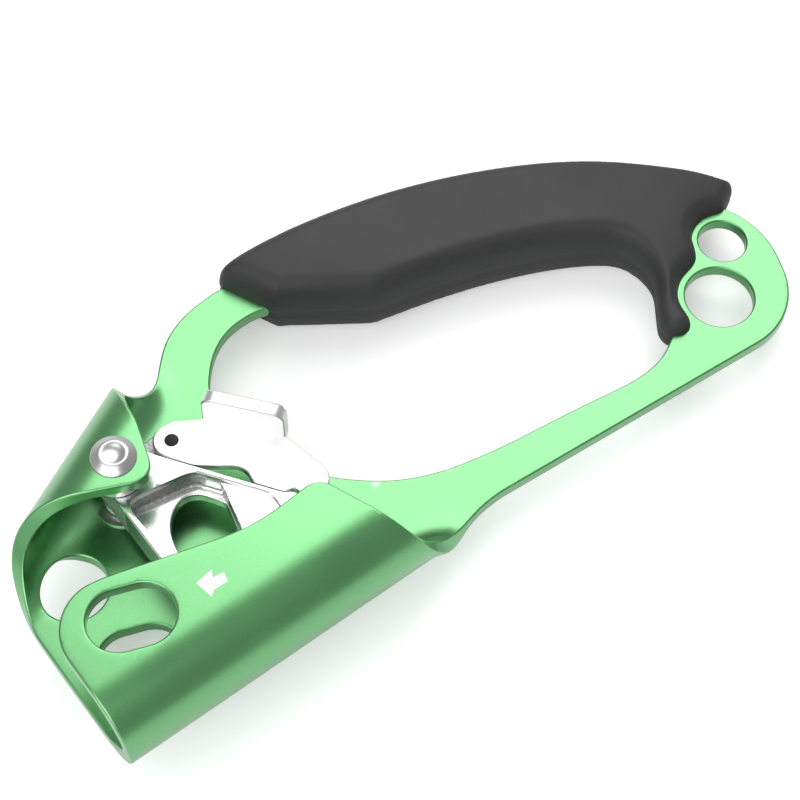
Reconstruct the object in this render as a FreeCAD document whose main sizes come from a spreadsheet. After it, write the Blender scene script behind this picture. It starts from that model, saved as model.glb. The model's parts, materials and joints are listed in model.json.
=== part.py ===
import FreeCAD, Part
import math
import os

from FreeCAD import Vector

# Hand ascender: one bent aluminium plate, a rubber hand grip and a sprung, toothed cam with its catch.
# The plate lies in XY with its back face at z = 0. +Y is up the rope, +Z is the front and +X is the hand
# side. The origin is the centre of the main attachment hole at the foot, on the back face.

DIMENSIONS = (
    ("plate_thick", 3.6),
    ("channel_gap", 18.7),
    ("head_height", 181.0),
    ("attach_hole_dia", 16.9),
    ("small_hole_dia", 11.9),
    ("head_hole_dia", 16.0),
    ("slot_width", 14.4),
    ("axle_dia", 5.0),
    ("axle_head_dia", 10.4),
    ("axle_head_thick", 2.0),
    ("bush_dia", 6.2),
    ("running_clearance", 0.05),
    ("cam_thick", 11.0),
    ("cam_floor_depth", 4.85),
    ("cam_hub_radius", 7.2),
    ("cam_hollow_depth", 3.0),
    ("tooth_height", 1.5),
    ("tooth_dia", 1.9),
    ("lug_thick", 5.1),
    ("lug_level", 10.05),
    ("washer_dia", 12.8),
    ("front_washer_thick", 3.2),
    ("thin_washer_thick", 0.6),
    ("rear_washer_dia", 11.2),
    ("rear_washer_thick", 0.95),
    ("fixed_gap", 0.03),
    ("catch_thick", 2.4),
    ("catch_step", 0.5),
    ("catch_tab_height", 9.2),
    ("catch_tab_thick", 3.3),
    ("pin_dia", 4.0),
    ("pin_head_dia", 6.4),
    ("pin_head_thick", 1.0),
    ("spring_wire", 0.9),
    ("grip_half_thick", 10.2),
    ("grip_hole_margin", 1.7),
)

doc = FreeCAD.newDocument("hand_ascender")
sheet = doc.addObject("Spreadsheet::Sheet", "Dimensions")
for row, (alias, value) in enumerate(DIMENSIONS, start=1):
    sheet.set("A%d" % row, alias)
    sheet.set("B%d" % row, str(value))
    sheet.setAlias("B%d" % row, alias)
doc.recompute()


def size(alias):
    """Value of one driving dimension."""
    return float(sheet.get(alias))


PLATE = size("plate_thick")
GAP = size("channel_gap")
HEAD_Y = size("head_height")
BEND_INNER = GAP / 2
BEND_OUTER = BEND_INNER + PLATE
BEND_MIDDLE = BEND_INNER + PLATE / 2
BEND_LENGTH = math.pi * BEND_MIDDLE
MID_Z = PLATE + GAP / 2
CAM_BACK_Z = MID_Z - size("cam_thick") / 2
CAM_FRONT_Z = MID_Z + size("cam_thick") / 2
CATCH_FRONT_Z = CAM_FRONT_Z - size("catch_step")

# The same levels as expressions on the sheet.
PLATE_TEXT = "Dimensions.plate_thick"
GAP_TEXT = "Dimensions.channel_gap"
THROUGH_TEXT = "2 * " + PLATE_TEXT + " + " + GAP_TEXT
CAM_BACK_TEXT = PLATE_TEXT + " + " + GAP_TEXT + " / 2 - Dimensions.cam_thick / 2"
CAM_FRONT_TEXT = PLATE_TEXT + " + " + GAP_TEXT + " / 2 + Dimensions.cam_thick / 2"
CATCH_FRONT_TEXT = CAM_FRONT_TEXT + " - Dimensions.catch_step"

AXLE = Vector(39.5, 147.2, 0)
CATCH_PIN = Vector(39.3, 132.8, 0)
ATTACH_HOLE = Vector(0, 0, 0)
SMALL_HOLE = Vector(11.9, -11.4, 0)
HEAD_HOLE = Vector(28.3, 168.0, 0)
SLOT_ENDS = (Vector(4.5, 162.7, 0), Vector(6.2, 167.4, 0))

# The rope channel is bent about a line parallel to Y. The ear is bent about a line that leans to the hand.
CHANNEL_FOLD = Vector(-3.5, 0, 0)
CHANNEL_ALONG = Vector(0, 1, 0)
CHANNEL_OUT = Vector(-1, 0, 0)
EAR_LEAN = math.radians(26.3)
EAR_FOLD = Vector(47.0, 132.8, 0)
EAR_ALONG = Vector(-math.sin(EAR_LEAN), math.cos(EAR_LEAN), 0)
EAR_OUT = Vector(math.cos(EAR_LEAN), math.sin(EAR_LEAN), 0)
BEND_SECTIONS = 14


# ---------------------------------------------------------------- helpers

def outline(start, steps):
    """Closed wire from steps ("line", p), ("arc", middle, p) and ("curve", p, p, ...)."""
    edges = []
    here = Vector(start[0], start[1], 0)
    for kind, *points in steps:
        points = [Vector(p[0], p[1], 0) for p in points]
        if kind == "line":
            edges.append(Part.makeLine(here, points[-1]))
        elif kind == "arc":
            edges.append(Part.Arc(here, points[0], points[1]).toShape())
        else:
            curve = Part.BSplineCurve()
            curve.interpolate([here] + points)
            edges.append(curve.toShape())
        here = points[-1]
    first = edges[0].Vertexes[0].Point
    if here.distanceToPoint(first) > 1e-6:
        edges.append(Part.makeLine(here, first))
    return Part.Wire(edges)


def feature(name, shape):
    """Part::Feature that holds a shape made with Part's functions."""
    item = doc.addObject("Part::Feature", name)
    item.Shape = shape
    return item


def extrusion(name, wires, height, level="0"):
    """Flat outline, with any inner outlines, extruded along +Z from a level. Both are expressions."""
    face = Part.makeFace(wires, "Part::FaceMakerBullseye")
    base = feature(name + "_outline", face)
    item = doc.addObject("Part::Extrusion", name)
    item.Base = base
    item.DirMode = "Custom"
    item.Dir = Vector(0, 0, 1)
    item.Solid = True
    item.setExpression("LengthFwd", height)
    item.setExpression("Placement.Base.z", level)
    return item


def cylinder(name, centre, radius, height, level="0"):
    """Cylinder along +Z. Radius, height and level are expressions on the sheet."""
    item = doc.addObject("Part::Cylinder", name)
    item.Placement.Base = centre
    item.setExpression("Radius", radius)
    item.setExpression("Height", height)
    item.setExpression("Placement.Base.z", level)
    return item


def fuse(name, parts):
    item = doc.addObject("Part::MultiFuse", name)
    item.Shapes = parts
    item.Refine = True
    return item


def cut(name, base, tool):
    item = doc.addObject("Part::Cut", name)
    item.Base = base
    item.Tool = tool
    return item


def ring(name, centre, outer, inner, height, level):
    """Washer or sleeve: one cylinder less another."""
    body = cylinder(name + "_outer", centre, outer, height, level)
    hole = cylinder(name + "_inner", centre, inner, height, level)
    return cut(name, body, hole)


def coil(name, centre, radius, wire, turns, level, leg):
    """Torsion spring: round wire swept along a close helix with a straight tangent leg at each end."""
    pitch = wire * 1.15
    helix = Part.makeHelix(pitch, pitch * turns, radius)
    helix.translate(centre + Vector(0, 0, level))
    first = helix.Edges[0]
    last = helix.Edges[-1]
    start = first.valueAt(first.FirstParameter)
    stop = last.valueAt(last.LastParameter)
    start_way = first.tangentAt(first.FirstParameter)
    stop_way = last.tangentAt(last.LastParameter)
    begin = start - start_way * leg
    leg_in = Part.makeLine(begin, start)
    leg_out = Part.makeLine(stop, stop + stop_way * leg)
    profile = Part.Wire(Part.makeCircle(wire / 2, begin, start_way))
    path = Part.Wire([leg_in] + helix.Edges + [leg_out])
    return feature(name, path.makePipeShell([profile], True, True))


def bend_point(fold, along, out, distance, radius, angle):
    """Point on a half-turn bend: angle 0 is the back plate and pi is the front."""
    place = fold + along * distance + out * (radius * math.sin(angle))
    return place + Vector(0, 0, MID_Z - radius * math.cos(angle))


def bend(name, fold, along, out, low_edge, high_edge):
    """Half-turn of plate lofted through square-cut sections. The edges are functions of the arc length."""
    sections = []
    for index in range(BEND_SECTIONS + 1):
        angle = math.pi * index / BEND_SECTIONS
        arc = BEND_MIDDLE * angle
        low = low_edge(arc)
        high = high_edge(arc)
        corners = ((low, BEND_INNER), (high, BEND_INNER), (high, BEND_OUTER), (low, BEND_OUTER))
        points = [bend_point(fold, along, out, place, radius, angle) for place, radius in corners]
        sections.append(Part.makePolygon(points + points[:1]))
    return feature(name, Part.makeLoft(sections, True, False))


# ---------------------------------------------------------------- frame

CHANNEL_CUT_SLOPE = 0.495
CHANNEL_CUT_START = 91.7


def channel_low(arc):
    """Foot-side edge of the channel bend: a straight slanted cut in the flat blank."""
    return CHANNEL_CUT_START + CHANNEL_CUT_SLOPE * arc


def channel_high(arc):
    """Head-side edge of the channel bend: square to the rope."""
    return HEAD_Y


def ear_low(arc):
    """Neck-side edge of the ear bend: a shallow parabola in the flat blank."""
    from_top = BEND_LENGTH - arc
    return 5.8 - 0.75 * from_top + 0.0095 * from_top ** 2


def ear_high(arc):
    """Head-side edge of the ear bend: nearly straight in the flat blank."""
    from_top = BEND_LENGTH - arc
    return 26.2 + 0.835 * from_top - 0.0014 * from_top ** 2


def ear_point(distance, offset=0.0):
    """Plan position on the ear's fold line, moved outwards by an offset."""
    place = EAR_FOLD + EAR_ALONG * distance + EAR_OUT * offset
    return (place.x, place.y)


def plate_outline():
    """Flat back plate: head, neck, handle limb under the grip, foot round both holes, and long limb."""
    return outline((CHANNEL_FOLD.x, HEAD_Y), (
        ("line", (CHANNEL_FOLD.x, 92)),
        ("line", (-12.6, 92)),
        ("curve", (-11.2, 86), (-10.3, 81), (-10.1, 76)),
        ("line", (-15.4, 2)),
        ("arc", (-11.4, -12.2), (-1.5, -18.8)),
        ("arc", (8.0, -21.0), (16.9, -19.4)),
        ("curve", (30, -12), (43, 1), (54, 18), (63, 38), (69.5, 60), (73.4, 84), (74.4, 98)),
        ("curve", (73.2, 107.6), (69.4, 115.9), (64.1, 121.4)),
        ("curve", (60.9, 124.6), (59.9, 127.9)),
        ("line", ear_point(ear_low(0))),
        ("line", ear_point((HEAD_Y - EAR_FOLD.y) / EAR_ALONG.y)),
    ))


def handle_opening():
    """Opening for the fingers, from the toe of the grip round to the neck."""
    return outline((1.5, 12.8), (
        ("curve", (-4.4, 22.2), (-5.5, 30.3), (-4.2, 41.5), (-2.0, 58), (-0.4, 70), (2.0, 81.7)),
        ("curve", (4.5, 88.6), (9.8, 97.6), (16.6, 105.2)),
        ("curve", (29, 113.2), (42, 116.6), (52.9, 114.4)),
        ("curve", (59.9, 108.0), (63.4, 100.4), (63.6, 93.6)),
        ("curve", (59.5, 79), (53.2, 60), (46.0, 41), (37.4, 20.4)),
        ("curve", (28.0, 9.4), (14.6, 7.6), (1.5, 12.8)),
    ))


def flange_outline():
    """Flat front wall of the rope channel."""
    return outline((CHANNEL_FOLD.x, channel_low(BEND_LENGTH)), (
        ("line", (CHANNEL_FOLD.x, HEAD_Y)),
        ("line", (5.3, HEAD_Y)),
        ("arc", (13.8, 177.5), (17.3, 169.0)),
        ("line", (16.6, 164.8)),
        ("line", (9.3, 139.0)),
        ("curve", (8.1, 132), (8.0, 126), (8.6, 118)),
        ("arc", (8.1, 115.0), (6.0, 112.9)),
    ))


def ear_outline():
    """Flat end of the ear, round the cam axle."""
    return outline(ear_point(ear_low(BEND_LENGTH)), (
        ("line", (34.6, 141.0)),
        ("arc", (31.5, 143.3), (31.1, 146.8)),
        ("line", ear_point(ear_high(BEND_LENGTH))),
    ))


def slot_outline():
    """Stadium-shaped slot for a karabiner, through both walls of the channel."""
    low, high = SLOT_ENDS
    radius = size("slot_width") / 2
    way = (high - low).normalize()
    side = Vector(-way.y, way.x, 0) * radius
    tip = way * radius
    return outline(low + side, (
        ("arc", low - tip, low - side),
        ("line", high - side),
        ("arc", high + tip, high + side),
    ))


def make_frame():
    front_level = PLATE_TEXT + " + " + GAP_TEXT
    walls = (
        extrusion("back_plate", [plate_outline(), handle_opening()], PLATE_TEXT),
        extrusion("channel_front", [flange_outline()], PLATE_TEXT, front_level),
        extrusion("ear_front", [ear_outline()], PLATE_TEXT, front_level),
        bend("channel_bend", CHANNEL_FOLD, CHANNEL_ALONG, CHANNEL_OUT, channel_low, channel_high),
        bend("ear_bend", EAR_FOLD, EAR_ALONG, EAR_OUT, ear_low, ear_high),
    )
    blank = fuse("bent_plate", walls)
    holes = (
        cylinder("attach_hole", ATTACH_HOLE, "Dimensions.attach_hole_dia / 2", PLATE_TEXT),
        cylinder("small_hole", SMALL_HOLE, "Dimensions.small_hole_dia / 2", PLATE_TEXT),
        cylinder("head_hole", HEAD_HOLE, "Dimensions.head_hole_dia / 2", "2 * " + PLATE_TEXT),
        cylinder("axle_hole", AXLE, "Dimensions.axle_dia / 2 + Dimensions.fixed_gap", THROUGH_TEXT),
        cylinder("axle_spot_face", AXLE, "Dimensions.washer_dia / 2 + 0.1", GAP_TEXT, PLATE_TEXT),
        extrusion("karabiner_slot", [slot_outline()], THROUGH_TEXT),
    )
    return cut("frame", blank, fuse("frame_holes", holes))


# ---------------------------------------------------------------- hand grip

# Each section crosses the limb from its outer to its inner edge: outer x, y, inner x, y, share of thickness.
GRIP_SECTIONS = (
    (75.2, 96.2, 60.0, 89.5, 0.88),
    (77.1, 92.0, 58.9, 86.4, 0.98),
    (77.0, 79.0, 52.2, 75.6, 1.00),
    (76.0, 70.6, 47.2, 69.2, 1.00),
    (73.6, 58.0, 44.9, 57.6, 1.00),
    (69.5, 43.7, 40.8, 43.2, 1.00),
    (64.1, 29.6, 35.8, 29.9, 0.99),
    (56.8, 14.6, 29.9, 18.4, 0.96),
    (47.2, 0.0, 23.6, 11.2, 0.91),
    (37.2, -12.4, 16.6, 10.2, 0.84),
    (29.0, -20.4, 9.4, 12.4, 0.74),
    (23.0, -25.0, 2.0, 16.8, 0.58),
)
GRIP_HALF_POINTS = 10
GRIP_SQUARENESS = 0.62


def grip_section(outer_x, outer_y, inner_x, inner_y, share):
    """Closed rounded section: a superellipse between the two edges of the grip, square to the plate."""
    outer = Vector(outer_x, outer_y, PLATE / 2)
    inner = Vector(inner_x, inner_y, PLATE / 2)
    middle = (outer + inner) * 0.5
    half_width = (outer - inner) * 0.5
    half_thick = Vector(0, 0, size("grip_half_thick") * share)
    halves = []
    for first in (0.0, math.pi):
        points = []
        for index in range(GRIP_HALF_POINTS + 1):
            turn = first + math.pi * index / GRIP_HALF_POINTS
            across = math.copysign(abs(math.cos(turn)) ** GRIP_SQUARENESS, math.cos(turn))
            upright = math.copysign(abs(math.sin(turn)) ** GRIP_SQUARENESS, math.sin(turn))
            if index in (0, GRIP_HALF_POINTS):
                upright = 0.0
            points.append(middle + half_width * across + half_thick * upright)
        curve = Part.BSplineCurve()
        curve.interpolate(points)
        halves.append(curve.toShape())
    return Part.Wire(halves)


def make_grip():
    """Rubber moulded round the handle limb, scalloped where it meets the two foot holes."""
    sections = [grip_section(*values) for values in GRIP_SECTIONS]
    body = feature("grip_body", Part.makeLoft(sections, True, False))
    tall = "4 * Dimensions.grip_half_thick"
    level = "-2 * Dimensions.grip_half_thick"
    margin = " / 2 + Dimensions.grip_hole_margin"
    cuts = (
        cylinder("attach_scallop", ATTACH_HOLE, "Dimensions.attach_hole_dia" + margin, tall, level),
        cylinder("small_scallop", SMALL_HOLE, "Dimensions.small_hole_dia" + margin, tall, level),
        extrusion("grip_core", [plate_outline(), handle_opening()], PLATE_TEXT),
    )
    return cut("handle_grip", body, fuse("grip_cuts", cuts))


# ---------------------------------------------------------------- cam

SPIRAL_REACH = 51.9
SPIRAL_REACH_ANGLE = math.radians(196.7)
SPIRAL_GROWTH = 0.3
SPIRAL_START = math.radians(175.0)
SPIRAL_STOP = math.radians(212.5)
CAM_HEAD_Y = 151.4
TOOTH_SUNK = 0.6
TOOTH_TIP = 0.15
TOOTH_LEAN = 0.35
TOOTH_ROWS = 4
TOOTH_ROW_STEP = 2.4
TEETH_IN_ROW = 9
TOOTH_START = 178.5
TOOTH_TURN = 3.4
BAR_START = Vector(37.7, 137.4, 0)
BAR_STOP = Vector(13.2, 120.0, 0)


def spiral(angle, extra=0.0):
    """Point of the gripping face: a logarithmic spiral about the axle."""
    radius = SPIRAL_REACH * math.exp(SPIRAL_GROWTH * (angle - SPIRAL_REACH_ANGLE)) + extra
    return Vector(AXLE.x + radius * math.cos(angle), AXLE.y + radius * math.sin(angle), 0)


def cam_outline():
    """Cam in plan: hub cut flat on its head side, spiral gripping face, foot side and the bar by the catch."""
    hub = size("cam_hub_radius")
    face = [spiral(SPIRAL_START + (SPIRAL_STOP - SPIRAL_START) * step / 6) for step in range(7)]
    flat_x = AXLE.x + math.sqrt(hub ** 2 - (CAM_HEAD_Y - AXLE.y) ** 2)
    bar_way = (BAR_START - BAR_STOP).normalize()
    hub_end = AXLE + Vector(bar_way.y, -bar_way.x, 0) * hub
    return outline((flat_x, CAM_HEAD_Y), (
        ("line", face[0]),
        ("curve", *face[1:]),
        ("arc", (-6.6, 115.2), (-4.6, 114.8)),
        ("line", (12.4, 118.2)),
        ("line", BAR_STOP),
        ("line", BAR_START),
        ("line", hub_end),
        ("arc", AXLE + Vector(hub, 0, 0), (flat_x, CAM_HEAD_Y)),
    ))


def recess_outline():
    """Cast pocket in the front of the cam, with a rim round it."""
    return outline((3.0, 148.0), (
        ("line", (29.6, 149.9)),
        ("arc", (31.6, 149.4), (32.0, 147.4)),
        ("line", (29.9, 134.4)),
        ("arc", (29.4, 133.2), (28.4, 132.4)),
        ("line", (24.2, 129.8)),
        ("line", (3.0, 135.2)),
    ))


def window_outline():
    """Window through the pocket floor, round at the axle end."""
    return outline((8.0, 146.0), (
        ("line", (19.6, 145.6)),
        ("curve", (24.6, 142.9), (27.3, 139.0), (26.9, 135.2)),
        ("curve", (24.6, 132.6), (20.8, 130.9)),
        ("line", (8.0, 134.2)),
    ))


def lug_outline():
    """Low lug beside the bar that carries the catch pin."""
    return outline((31.2, 132.9), (
        ("line", (36.2, 128.0)),
        ("arc", (42.4, 128.3), (44.3, 133.4)),
        ("line", (43.2, 142.0)),
        ("line", (37.0, 141.0)),
    ))


def tooth(angle, height):
    """One cone tooth on the gripping face, leaning down the rope."""
    root = spiral(angle, -TOOTH_SUNK)
    root.z = height
    way = Vector(math.cos(angle), math.sin(angle) - TOOTH_LEAN, 0)
    return Part.makeCone(size("tooth_dia") / 2, TOOTH_TIP, size("tooth_height") + TOOTH_SUNK, root, way)


def tooth_field():
    """Rows of teeth across the cam's thickness, every second row staggered by half a step."""
    teeth = []
    for row in range(TOOTH_ROWS):
        height = MID_Z + TOOTH_ROW_STEP * (row - (TOOTH_ROWS - 1) / 2)
        for step in range(TEETH_IN_ROW):
            turn = TOOTH_START + TOOTH_TURN * (step + (row % 2) / 2)
            teeth.append(tooth(math.radians(turn), height))
    return feature("cam_teeth", teeth[0].fuse(teeth[1:]))


def make_cam():
    """Cast cam: plate, pocket, window, pin lug, hub bore and four staggered rows of teeth."""
    thick = "Dimensions.cam_thick"
    floor = CAM_FRONT_TEXT + " - Dimensions.cam_floor_depth"
    body = fuse("cam_body", (
        extrusion("cam_block", [cam_outline()], thick, CAM_BACK_TEXT),
        extrusion("cam_lug", [lug_outline()], "Dimensions.lug_thick", "Dimensions.lug_level"),
        tooth_field(),
    ))
    bore = "Dimensions.bush_dia / 2 + Dimensions.running_clearance"
    pin_bore = "Dimensions.pin_dia / 2 + Dimensions.running_clearance"
    cuts = (
        extrusion("cam_recess", [recess_outline()], "Dimensions.cam_floor_depth", floor),
        extrusion("cam_window", [window_outline()], thick, CAM_BACK_TEXT),
        extrusion("cam_hollow", [recess_outline()], "Dimensions.cam_hollow_depth", CAM_BACK_TEXT),
        cylinder("cam_bore", AXLE, bore, thick, CAM_BACK_TEXT),
        cylinder("cam_pin_bore", CATCH_PIN, pin_bore, thick, CAM_BACK_TEXT),
    )
    return cut("cam", body, fuse("cam_cuts", cuts))


# ---------------------------------------------------------------- axle group

def cone(name, centre, low_radius, high_radius, height, level):
    """Cone or taper along +Z. Its sizes and level are expressions on the sheet."""
    item = doc.addObject("Part::Cone", name)
    item.Placement.Base = centre
    item.setExpression("Radius1", low_radius)
    item.setExpression("Radius2", high_radius)
    item.setExpression("Height", height)
    item.setExpression("Placement.Base.z", level)
    return item


def make_axle():
    """Rivet through the ear, the bush and the plate: dished front head, shank and formed rear head."""
    head_radius = "Dimensions.axle_head_dia / 2"
    head_thick = "Dimensions.axle_head_thick"
    neck = "Dimensions.rear_washer_thick + Dimensions.fixed_gap"
    tail_level = "-(" + neck + " + 0.8 * " + head_thick + ")"
    solid = fuse("axle_solid", (
        cylinder("axle_shank", AXLE, "Dimensions.axle_dia / 2", THROUGH_TEXT),
        cylinder("axle_neck", AXLE, "Dimensions.axle_dia / 2", neck, "-(" + neck + ")"),
        cone("axle_head", AXLE, head_radius, head_radius + " * 0.62", head_thick, THROUGH_TEXT),
        cone("axle_tail", AXLE, head_radius + " * 0.66", head_radius + " * 0.86", "0.8 * " + head_thick,
             tail_level),
    ))
    dish = doc.addObject("Part::Sphere", "axle_dish")
    dish.Placement.Base = AXLE
    dish.setExpression("Radius", head_radius)
    dish.setExpression("Placement.Base.z", THROUGH_TEXT + " + " + head_radius + " + 0.65 * " + head_thick)
    return cut("cam_axle", solid, dish)


def make_axle_group():
    """Rivet, rear washer, spacer bush, and the two thrust washers beside the cam."""
    over_axle = "Dimensions.axle_dia / 2 + Dimensions.fixed_gap"
    over_bush = "Dimensions.bush_dia / 2 + 0.1"
    washer = "Dimensions.washer_dia / 2"
    on_plate = PLATE_TEXT + " + Dimensions.fixed_gap"
    rear_thick = "Dimensions.rear_washer_thick"
    return (
        make_axle(),
        ring("axle_rear_washer", AXLE, "Dimensions.rear_washer_dia / 2", over_axle, rear_thick,
             "-" + rear_thick + " - Dimensions.fixed_gap / 2"),
        ring("axle_bush", AXLE, "Dimensions.bush_dia / 2", over_axle,
             GAP_TEXT + " - 2 * Dimensions.fixed_gap", on_plate),
        ring("cam_front_washer", AXLE, washer, over_bush, "Dimensions.front_washer_thick",
             CAM_FRONT_TEXT + " + 0.32"),
        ring("cam_rear_washer", AXLE, washer, over_bush, "Dimensions.thin_washer_thick", on_plate),
    )


SPRING_TURNS = 1.5


def make_cam_spring():
    """Torsion spring round the bush, between the plate and the cam."""
    wire = size("spring_wire")
    radius = size("bush_dia") / 2 + wire / 2 + 0.35
    level = PLATE + size("thin_washer_thick") + 0.3 + wire / 2
    return coil("cam_spring", AXLE, radius, wire, SPRING_TURNS, level, 6.0)


# ---------------------------------------------------------------- catch

TAB_START = Vector(39.8, 124.2, 0)
TAB_STOP = Vector(24.8, 111.8, 0)
TAB_WAY = (TAB_STOP - TAB_START).normalize()
TAB_SIDE = Vector(-TAB_WAY.y, TAB_WAY.x, 0)
TAB_CORNER = 3.0
GROOVE_RADIUS = 0.45
GROOVE_STEP = 1.9
GROOVES = 7
BAR_GAP = 0.35


def catch_outline():
    """Catch plate: round the pin, along the tab, down to the finger tip and back along the cam's bar."""
    bar_way = (BAR_STOP - BAR_START).normalize()
    bar_side = Vector(-bar_way.y, bar_way.x, 0)

    def beside_bar(distance):
        return BAR_START + bar_way * distance + bar_side * BAR_GAP

    nearest = (CATCH_PIN - BAR_START).dot(bar_way)
    upper = beside_bar(nearest)
    heel = (CATCH_PIN - upper).Length
    tab_root = TAB_SIDE * size("catch_tab_thick")
    notch_in = beside_bar(8.2)
    notch_out = beside_bar(22.4)
    return outline(upper, (
        ("arc", CATCH_PIN + Vector(heel * 0.6, heel * 0.8, 0), CATCH_PIN + Vector(heel, 0, 0)),
        ("line", (43.3, 129.9)),
        ("line", (41.8, 127.4)),
        ("line", TAB_START),
        ("line", TAB_START + tab_root),
        ("line", TAB_STOP + tab_root),
        ("line", TAB_STOP),
        ("line", (24.1, 111.4)),
        ("line", (14.2, 109.2)),
        ("arc", (10.6, 109.7), (8.4, 112.6)),
        ("line", (8.2, 116.2)),
        ("line", (12.9, 117.4)),
        ("line", BAR_STOP + bar_side * BAR_GAP),
        ("line", notch_out),
        ("line", (22.4, 123.7)),
        ("arc", (24.3, 124.1), (25.8, 125.3)),
        ("line", (28.2, 128.6)),
        ("line", notch_in),
    ))


def tab_profile():
    """Thumb tab seen square on, along its length and height, with round upper corners."""
    length = (TAB_STOP - TAB_START).Length
    low = CATCH_FRONT_Z - size("catch_thick") / 2
    high = CATCH_FRONT_Z + size("catch_tab_height")
    blend = TAB_CORNER * (1 - math.sqrt(0.5))

    def at(distance, height):
        return TAB_START + TAB_WAY * distance + Vector(0, 0, height)

    near_corner = Part.Arc(at(0, high - TAB_CORNER), at(blend, high - blend), at(TAB_CORNER, high))
    far_corner = Part.Arc(at(length - TAB_CORNER, high), at(length - blend, high - blend),
                          at(length, high - TAB_CORNER))
    return Part.Face(Part.Wire((
        Part.makeLine(at(0, low), at(0, high - TAB_CORNER)),
        near_corner.toShape(),
        Part.makeLine(at(TAB_CORNER, high), at(length - TAB_CORNER, high)),
        far_corner.toShape(),
        Part.makeLine(at(length, high - TAB_CORNER), at(length, low)),
        Part.makeLine(at(length, low), at(0, low)),
    )))


def tab_grooves():
    """Grooves cut across the tab's top edge, for the thumb."""
    middle = (TAB_STOP - TAB_START).Length / 2
    top = Vector(0, 0, CATCH_FRONT_Z + size("catch_tab_height"))
    grooves = []
    for index in range(GROOVES):
        distance = middle + GROOVE_STEP * (index - (GROOVES - 1) / 2)
        place = TAB_START + TAB_WAY * distance - TAB_SIDE + top
        grooves.append(Part.makeCylinder(GROOVE_RADIUS, size("catch_tab_thick") + 2, place, TAB_SIDE))
    return feature("catch_grooves", grooves[0].fuse(grooves[1:]))


def make_catch():
    """Pressed steel catch: flat plate with a pin hole and a thumb tab that stands forward."""
    thick = "Dimensions.catch_thick"
    level = CATCH_FRONT_TEXT + " - " + thick
    tab = doc.addObject("Part::Extrusion", "catch_tab")
    tab.Base = feature("catch_tab_profile", tab_profile())
    tab.DirMode = "Custom"
    tab.Dir = TAB_SIDE
    tab.Solid = True
    tab.setExpression("LengthFwd", "Dimensions.catch_tab_thick")
    solid = fuse("catch_solid", (extrusion("catch_plate", [catch_outline()], thick, level), tab))
    hole = cylinder("catch_pin_hole", CATCH_PIN, "Dimensions.pin_dia / 2", thick, level)
    return cut("safety_catch", solid, fuse("catch_cuts", (hole, tab_grooves())))


def make_catch_pin():
    """Pin riveted in the catch. It turns in the cam's lug, and its head is behind the lug."""
    radius = "Dimensions.pin_dia / 2"
    head = "Dimensions.pin_head_thick"
    rear = CAM_BACK_TEXT + " - " + head + " - 0.2"
    return fuse("catch_pin", (
        cylinder("pin_shank", CATCH_PIN, radius, CATCH_FRONT_TEXT + " - (" + rear + ")", rear),
        cylinder("pin_head", CATCH_PIN, "Dimensions.pin_head_dia / 2", head, rear),
    ))


def make_catch_spring():
    """Torsion spring round the catch pin, in the space behind the lug."""
    wire = size("spring_wire") * 0.8
    level = CAM_BACK_Z + 0.25 + wire / 2
    radius = size("pin_dia") / 2 + wire / 2 + 0.3
    return coil("catch_spring", CATCH_PIN, radius, wire, SPRING_TURNS, level, 3.0)


# ---------------------------------------------------------------- build and write

nodes = [make_frame(), make_grip(), make_cam(), make_cam_spring()]
nodes += make_axle_group()
nodes += (make_catch(), make_catch_pin(), make_catch_spring())
doc.recompute()

for item in doc.Objects:
    if "Invalid" in item.State or "Error" in item.State:
        raise RuntimeError("%s did not compute: %s" % (item.Name, item.State))

os.makedirs("parts", exist_ok=True)
for node in nodes:
    shape = node.Shape
    if shape.isNull() or not shape.isValid():
        raise RuntimeError("%s has no valid shape" % node.Label)
    shape.exportStep(os.path.join("parts", node.Label + ".step"))
    print("%-18s solids %d  volume %9.1f mm3" % (node.Label, len(shape.Solids), shape.Volume))
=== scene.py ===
import json
import math

import bpy
import numpy as np
from bpy.props import FloatProperty, FloatVectorProperty, PointerProperty
from bpy.types import Operator, Panel, PropertyGroup
from mathutils import Matrix, Vector
from mathutils.geometry import delaunay_2d_cdt


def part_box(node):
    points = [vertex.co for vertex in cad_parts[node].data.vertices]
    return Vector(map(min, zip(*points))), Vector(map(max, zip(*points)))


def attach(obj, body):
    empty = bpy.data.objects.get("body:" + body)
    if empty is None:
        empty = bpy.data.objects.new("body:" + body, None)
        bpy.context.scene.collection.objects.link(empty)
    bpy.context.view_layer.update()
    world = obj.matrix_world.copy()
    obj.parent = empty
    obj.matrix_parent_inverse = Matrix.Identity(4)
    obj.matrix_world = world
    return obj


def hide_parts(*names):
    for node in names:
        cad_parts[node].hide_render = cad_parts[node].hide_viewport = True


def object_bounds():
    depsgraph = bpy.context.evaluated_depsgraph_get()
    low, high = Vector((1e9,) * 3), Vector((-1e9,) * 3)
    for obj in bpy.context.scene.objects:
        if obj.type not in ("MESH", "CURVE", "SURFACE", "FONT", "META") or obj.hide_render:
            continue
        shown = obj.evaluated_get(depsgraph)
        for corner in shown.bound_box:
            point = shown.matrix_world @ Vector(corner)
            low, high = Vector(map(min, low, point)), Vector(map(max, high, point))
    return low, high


bl_info = {
    "name": "Hand ascender",
    "version": (1, 0, 0),
    "blender": (4, 5, 0),
    "location": "3D View > Sidebar > Ascender",
    "description": "Builds the surfaces and finishes of a hand ascender round its CAD frame",
    "category": "Object",
}

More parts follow.
